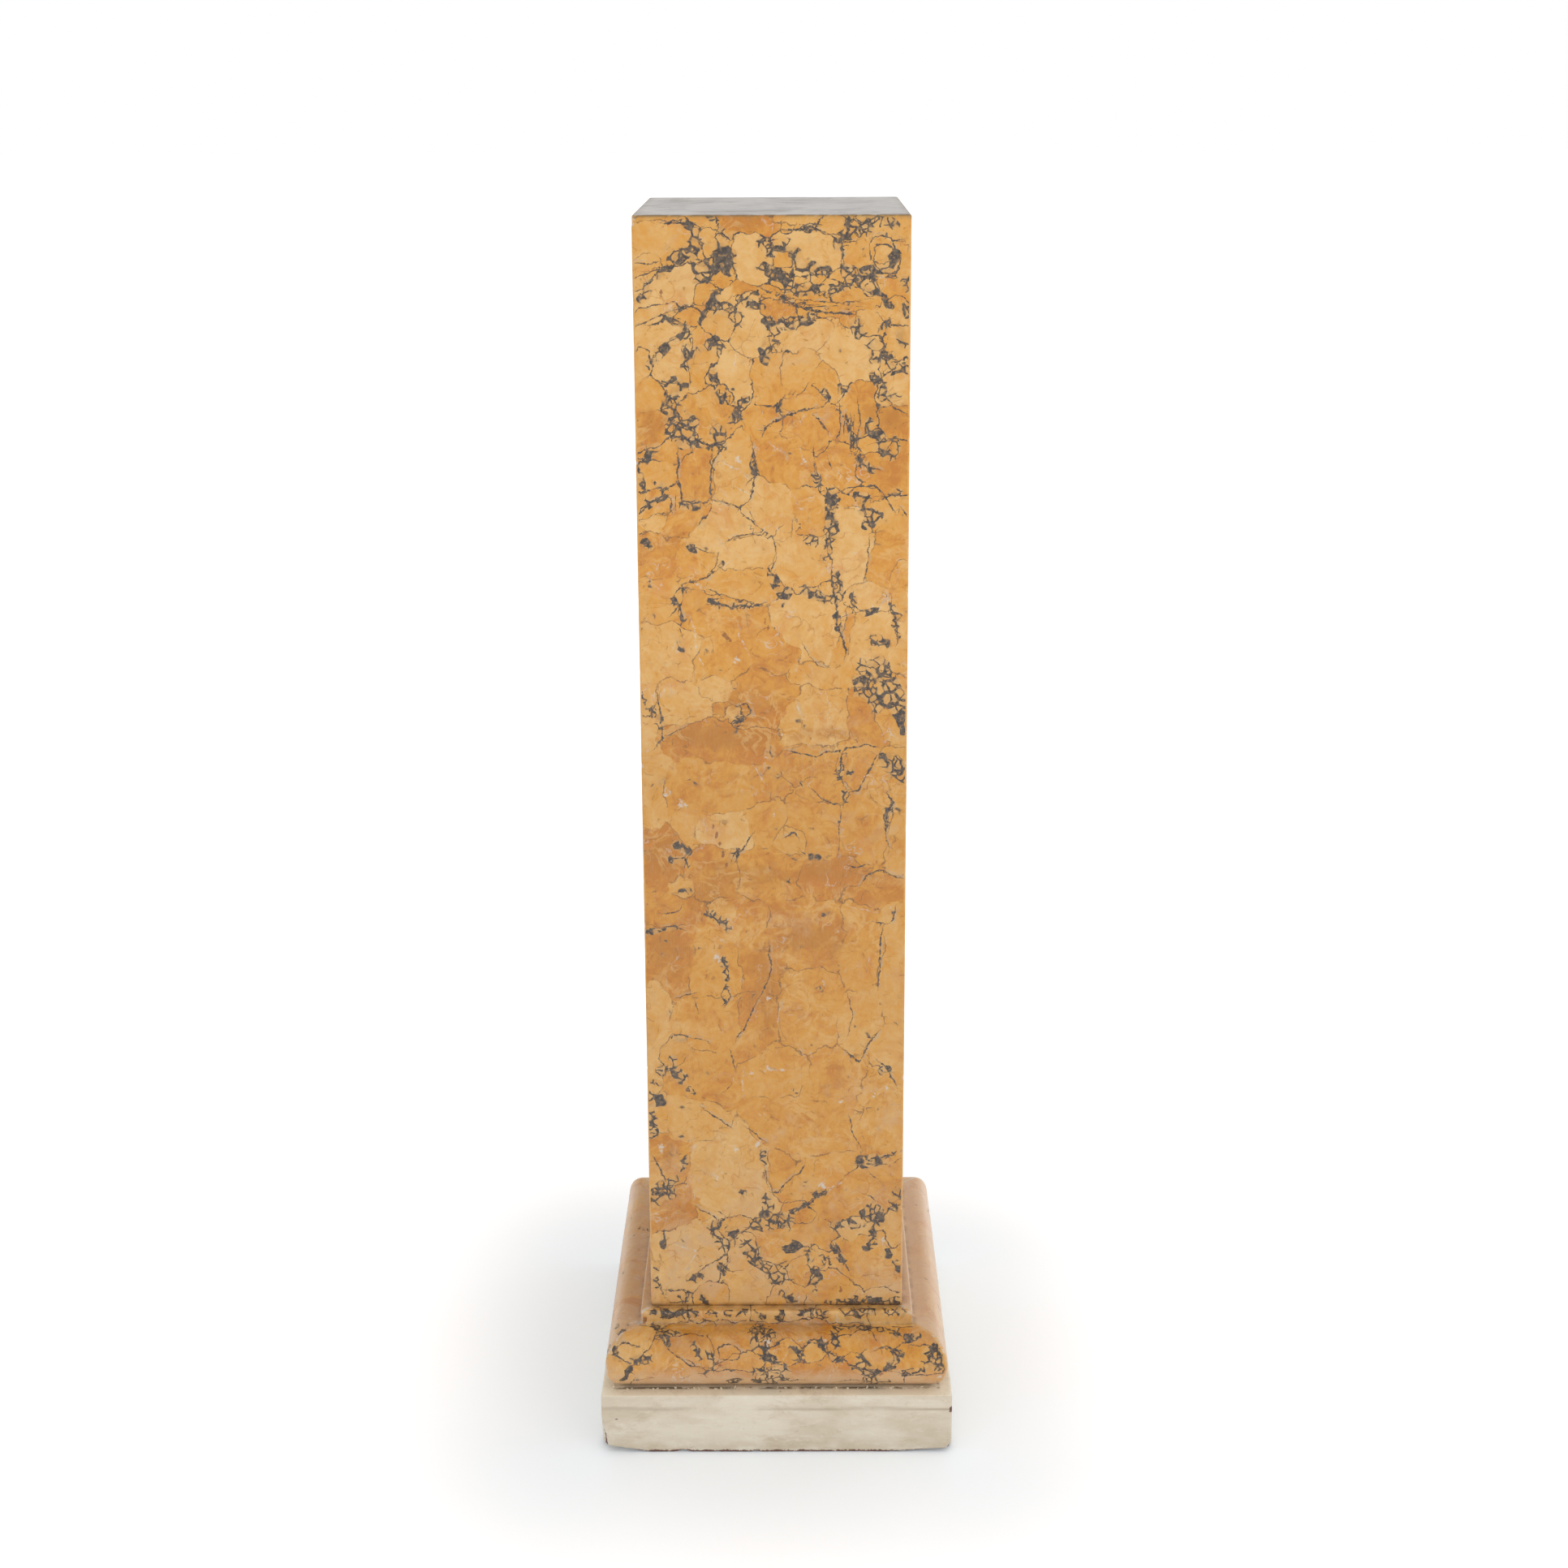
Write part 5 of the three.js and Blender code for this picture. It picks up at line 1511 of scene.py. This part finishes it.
class COLUMN_OT_plinth(bpy.types.Operator):
    """Build the painted plinth block with its chipped foot"""

    bl_idname = "column.plinth"
    bl_label = "Plinth"

    # Worn corners of the foot: side, front, then the legs along the front, the side and the arris
    CORNERS = [
        (-1, -1, 9, 14, 44), (-1, -1, 52, 30, 9), (1, -1, 8, 10, 16), (1, -1, 66, 24, 5),
        (1, 1, 20, 34, 7), (-1, 1, 26, 16, 9),
    ]

    def execute(self, context):
        sizes = named("column_sizes")
        half = PLINTH_HALF
        arris = sizes.plinth_arris
        section = finely([(half - 24 * MM, 0.0), (half - arris, 0.0)], 4 * MM)
        section += arc(half - arris, arris, arris, arris, -90, 0, 3)[1:]
        section += finely([section[-1], (half, PLINTH_TOP - arris)], 2.2 * MM)[1:]
        section += arc(half - arris, PLINTH_TOP - arris, arris, arris, 0, 90, 3)[1:]
        section += finely([section[-1], (MOULDING_HALF - 40 * MM, PLINTH_TOP)], 3 * MM)[1:]
        run = SquareRun(section, sizes.plinth_corner, sizes.front_pitch, sizes.front_pitch)
        mesh = run.mesh("plinth_finish")
        self.wear(mesh)
        add_piece("plinth_finish", mesh, ["plinth"], [cream_paint()])
        return {"FINISHED"}

    def wear(self, mesh):
        """Presses the worn corners in, chips the foot and dents the faces."""
        places = coordinates(mesh)
        before = places.copy()
        for side, front, along, aside, up in self.CORNERS:
            corner = np.array([side * PLINTH_HALF, front * PLINTH_HALF, 0.0])
            outward = np.array([side / along, front / aside, -1.0 / up]) / MM
            size = np.linalg.norm(outward)
            outward /= size
            beyond = (places - corner) @ outward + 1.0 / size
            ragged = roughly(places, 6 * MM, 3) * 0.5 * MM
            pressed = np.clip(beyond + np.where(beyond > 0, ragged, 0.0), 0.0, None)
            places -= outward * pressed[:, None]
        half = np.maximum(np.abs(places[:, 0]), np.abs(places[:, 1]))
        outer = half > PLINTH_HALF - 3 * MM
        ragged = ease(roughly(places, 17 * MM, 14) + 0.6 * roughly(places, 6 * MM, 15), 0.05, 0.7)
        places[:, 2] += ease(places[:, 2], 4.5 * MM, 0.0) * outer * ragged * 2.2 * MM
        dent = roughly(places, 40 * MM, 16) * 0.3 + roughly(places, 9 * MM, 17) * 0.12 - 0.35
        places[:, :2] *= 1 + (np.where(outer, dent, 0.0) * MM / PLINTH_HALF)[:, None]
        set_coordinates(mesh, places)
        self.mark(mesh, before, half, outer, np.linalg.norm(places - before, axis=1))

    @staticmethod
    def mark(mesh, before, half, outer, moved):
        """Stores the worn paint, the dirt at the foot and painted shade under the torus, the scored line, a
        painted shadow line along the joint and the painted light of the ledge, by the unworn places.
        """
        up = before[:, 2]
        near = arris_distance(before, PLINTH_HALF, 0.0, PLINTH_TOP)
        top_edge = ease(np.abs(up - PLINTH_TOP), 4 * MM, 0.0) * ease(near, 2.5 * MM, 0.4 * MM)
        foot_line = ease(up, 4.6 * MM, 1.6 * MM) * outer * 0.7
        worn = ease(moved, 0.8 * MM, 3.4 * MM) * 0.5 + foot_line + top_edge * 0.16
        notch_place = np.array([PLINTH_HALF, -PLINTH_HALF, PLINTH_TOP - 15 * MM])
        notch = ease(np.linalg.norm(before - notch_place, axis=1), 5 * MM, 2 * MM)
        on_ledge = up > PLINTH_TOP - MM
        under_torus = ease(half, PLINTH_HALF - 13 * MM, PLINTH_HALF - 17 * MM) * on_ledge
        low_dirt = ease(up, 26 * MM, 0.0) * 0.55
        drift = roughly(before * np.array([1.0, 1.0, 0.0]), 70 * MM, 18) * 0.6 * MM
        line_height = PLINTH_TOP - 14 * MM + drift
        line = ease(np.abs(up - line_height), 1.7 * MM, 0.3 * MM)
        broken = ease(roughly(before, 50 * MM, 19), -0.35, 0.1)
        contact = MOULDING_HALF - named("column_sizes").torus_bulge + 10 * MM
        # crevice: painted shade on the ledge under the torus, and dirt low on the faces; joint: a broken
        # painted shadow line along the joint under the torus's edge; ledge: the top face painted lighter as
        # painted light
        give(
            mesh,
            wear=np.clip(np.maximum(worn, notch), 0, 1),
            groove=line * broken * outer * 0.75,
            crevice=np.clip(np.maximum(under_torus * 0.7, low_dirt), 0, 1),
            joint=ease(np.abs(half - contact), 1.9 * MM, 0.3 * MM) * on_ledge,
            ledge=(up > PLINTH_TOP - 0.6 * MM) * 0.65,
        )


class COLUMN_OT_joint_crumbs(bpy.types.Operator):
    """Scatter the crumbs of old filler along the joint under the torus"""

    bl_idname = "column.joint_crumbs"
    bl_label = "Joint crumbs"

    def execute(self, context):
        sizes = named("column_sizes")
        half = MOULDING_HALF - sizes.torus_bulge + 11.5 * MM
        carrier = bpy.data.objects.new("crumb_carrier", bpy.data.meshes.new("crumb_carrier"))
        bpy.context.scene.collection.objects.link(carrier)
        modifier = carrier.modifiers.new("crumbs", "NODES")
        modifier.node_group = self.tree(old_filler())
        values = {
            "Half width": half, "Height": PLINTH_TOP + 0.25 * MM, "Spacing": 4.5 * MM,
            "Crumb size": sizes.crumb, "Seed": 5,
        }
        for socket in modifier.node_group.interface.items_tree:
            if socket.in_out == "INPUT" and socket.name in values:
                modifier[socket.identifier] = values[socket.name]
        evaluated = carrier.evaluated_get(context.evaluated_depsgraph_get())
        mesh = bpy.data.meshes.new_from_object(evaluated)
        carrier.modifiers.remove(modifier)
        bpy.data.objects.remove(carrier)
        if not mesh.polygons:
            raise RuntimeError("no crumbs were made along the joint")
        mesh.name = "joint_crumbs"
        add_piece("joint_crumbs", mesh, [], [])
        return {"FINISHED"}

    @staticmethod
    def tree(material):
        """The node tree: crumbs on points along a square path, shaken, turned and sized by chance."""
        group = bpy.data.node_groups.new("Joint crumbs", "GeometryNodeTree")
        for name in ("Half width", "Height", "Spacing", "Crumb size"):
            group.interface.new_socket(name, in_out="INPUT", socket_type="NodeSocketFloat")
        group.interface.new_socket("Seed", in_out="INPUT", socket_type="NodeSocketInt")
        group.interface.new_socket("Geometry", in_out="OUTPUT", socket_type="NodeSocketGeometry")
        nodes = Nodes(group)
        given = nodes.add("NodeGroupInput").outputs
        out = nodes.add("NodeGroupOutput").inputs

        def chance(kind, draw, inputs):
            """A value drawn by chance, each draw with a seed of its own."""
            seed = nodes.math("ADD", given["Seed"], float(draw))
            drawn = nodes.add("FunctionNodeRandomValue", {**inputs, "Seed": seed}, data_type=kind)
            return drawn.outputs[3 if kind == "BOOLEAN" else 0]

        side = nodes.product(given["Half width"], 2.0)
        path = nodes.add("GeometryNodeCurvePrimitiveQuadrilateral", {"Width": side, "Height": side})
        points = nodes.add("GeometryNodeCurveToPoints", {
            0: path.outputs[0], "Length": given["Spacing"],
        }, mode="LENGTH").outputs["Points"]
        lift = nodes.add("ShaderNodeCombineXYZ", {"Z": given["Height"]}).outputs[0]
        shake = chance("FLOAT_VECTOR", 0, {
            0: (-1.4 * MM, -1.4 * MM, 0.0), 1: (1.4 * MM, 1.4 * MM, 0.2 * MM),
        })
        points = nodes.add("GeometryNodeSetPosition", {
            "Geometry": points, "Offset": nodes.vector("ADD", lift, shake),
        }).outputs[0]
        gone = chance("BOOLEAN", 1, {"Probability": 0.6})
        points = {0: points, 1: gone}
        points = nodes.add("GeometryNodeDeleteGeometry", points, domain="POINT").outputs[0]
        ball = {"Radius": 0.5, "Subdivisions": 2}
        crumb = nodes.add("GeometryNodeMeshIcoSphere", ball).outputs["Mesh"]
        lumps = nodes.add("ShaderNodeTexNoise", {"Scale": 2.6, "Detail": 1.0}).outputs["Color"]
        crumb = nodes.add("GeometryNodeSetPosition", {
            "Geometry": crumb, "Offset": nodes.vector("SUBTRACT", lumps, (0.5, 0.5, 0.5)),
        }).outputs[0]
        turn = chance("FLOAT_VECTOR", 2, {1: (0.6, 0.6, math.tau)})
        share = chance("FLOAT_VECTOR", 3, {0: (0.6, 0.5, 0.4), 1: (2.6, 1.6, 1.3)})
        size = nodes.scaled(share, given["Crumb size"])
        placed = nodes.add("GeometryNodeInstanceOnPoints", {
            "Points": points, "Instance": crumb, "Rotation": turn, "Scale": size,
        }).outputs[0]
        real = nodes.add("GeometryNodeRealizeInstances", {0: placed}).outputs[0]
        finish = {"Geometry": real, "Material": material}
        nodes.feed(out["Geometry"], nodes.add("GeometryNodeSetMaterial", finish).outputs[0])
        return group


# The stage

# The camera that took the photograph, solved from the column's arrises
CAMERA_PLACE = (0.0169, -2.0658, 1.3451)
CAMERA_TURN = math.radians(0.199)
CAMERA_PITCH = math.radians(12.417)
CAMERA_ROLL = math.radians(0.205)
FOCAL_PIXELS = 2664.6
AXIS_PIXELS_DOWN = 659.3
PHOTO_PIXELS = 1932
SENSOR = 36.0

# The four soft lights: name, place, width of the square panel in metres, power in watts
LIGHTS = (
    ("key", (2.0, -2.2, 3.0), 2.6, 15.0),
    ("fill", (-1.4, -2.8, 2.4), 3.0, 7.0),
    ("top", (0.0, 0.3, 4.2), 4.0, 12.0),
    ("side", (3.1, 0.4, 1.3), 2.0, 14.0),
)
LIGHTS_AIM = (0.0, 0.0, 0.6)
# How strongly the white surroundings light the column; the camera sees them at full white
AMBIENT = 0.76
FLOOR_SIZE = 30.0


class COLUMN_OT_stage(bpy.types.Operator):
    """Set the floor, the soft studio light and the camera"""

    bl_idname = "column.stage"
    bl_label = "Studio"

    def execute(self, context):
        self.floor()
        self.world()
        for light in LIGHTS:
            self.light(*light)
        self.camera(context.scene)
        context.scene.view_settings.view_transform = "Standard"
        return {"FINISHED"}

    @staticmethod
    def floor():
        """A wide flat floor under the column."""
        mesh = bpy.data.meshes.new("floor")
        shape = bmesh.new()
        bmesh.ops.create_grid(shape, x_segments=8, y_segments=8, size=FLOOR_SIZE)
        shape.to_mesh(mesh)
        shape.free()
        floor = bpy.data.objects.new("floor", mesh)
        mesh.materials.append(studio_floor())
        bpy.context.scene.collection.objects.link(floor)

    @staticmethod
    def world():
        """White surroundings, a little dimmer as light than as they are seen."""
        world = bpy.data.worlds.new("studio")
        world.use_nodes = True
        nodes = Nodes(world.node_tree)
        seen = nodes.add("ShaderNodeLightPath").outputs["Is Camera Ray"]
        background = world.node_tree.nodes["Background"]
        background.inputs["Color"].default_value = (1.0, 1.0, 1.0, 1.0)
        nodes.feed(background.inputs["Strength"], nodes.blend(seen, AMBIENT, 1.0))
        bpy.context.scene.world = world

    @staticmethod
    def light(name, place, size, power):
        """A square soft light, aimed at the middle of the column."""
        data = bpy.data.lights.new(name, "AREA")
        data.shape = "SQUARE"
        data.size = size
        data.energy = power
        lamp = bpy.data.objects.new(name, data)
        bpy.context.scene.collection.objects.link(lamp)
        lamp.location = place
        aim = Vector(LIGHTS_AIM) - Vector(place)
        lamp.rotation_euler = aim.to_track_quat("-Z", "Y").to_euler()

    @staticmethod
    def camera(scene):
        """The camera that took the photograph."""
        data = bpy.data.cameras.new("camera")
        data.sensor_width = SENSOR
        data.lens = SENSOR * FOCAL_PIXELS / PHOTO_PIXELS
        data.shift_y = AXIS_PIXELS_DOWN / PHOTO_PIXELS - 0.5
        camera = bpy.data.objects.new("camera", data)
        scene.collection.objects.link(camera)
        turn = Matrix.Rotation(CAMERA_TURN, 4, "Z")
        pitch = Matrix.Rotation(math.pi / 2 - CAMERA_PITCH, 4, "X")
        roll = Matrix.Rotation(-CAMERA_ROLL, 4, "Z")
        camera.matrix_world = Matrix.Translation(CAMERA_PLACE) @ turn @ pitch @ roll
        scene.camera = camera


class COLUMN_PT_panel(bpy.types.Panel):
    """The column's pieces, sizes and colours"""

    bl_idname = "COLUMN_PT_panel"
    bl_label = "Scagliola column"
    bl_space_type = "VIEW_3D"
    bl_region_type = "UI"
    bl_category = "Column"

    def draw(self, context):
        for operator in OPERATORS:
            self.layout.operator(operator.bl_idname)
        for title, settings in (("Sizes", "column_sizes"), ("Colours", "column_colours")):
            box = self.layout.box()
            box.label(text=title)
            group = getattr(context.scene, settings)
            for name in group.__annotations__:
                box.prop(group, name)


OPERATORS = (
    COLUMN_OT_shaft, COLUMN_OT_base_moulding, COLUMN_OT_plinth, COLUMN_OT_joint_crumbs, COLUMN_OT_stage,
)
CLASSES = (ColumnSizes, ColumnColours, *OPERATORS, COLUMN_PT_panel)


def register():
    """Registers the classes and hangs the settings on the scene."""
    for cls in CLASSES:
        bpy.utils.register_class(cls)
    bpy.types.Scene.column_sizes = bpy.props.PointerProperty(type=ColumnSizes)
    bpy.types.Scene.column_colours = bpy.props.PointerProperty(type=ColumnColours)


def unregister():
    """Takes the settings and the classes away again."""
    del bpy.types.Scene.column_colours
    del bpy.types.Scene.column_sizes
    for cls in reversed(CLASSES):
        bpy.utils.unregister_class(cls)


def main():
    """Builds the whole column."""
    register()
    bpy.ops.column.shaft()
    bpy.ops.column.base_moulding()
    bpy.ops.column.plinth()
    bpy.ops.column.joint_crumbs()
    bpy.ops.column.stage()


if __name__ == "__main__":
    main()
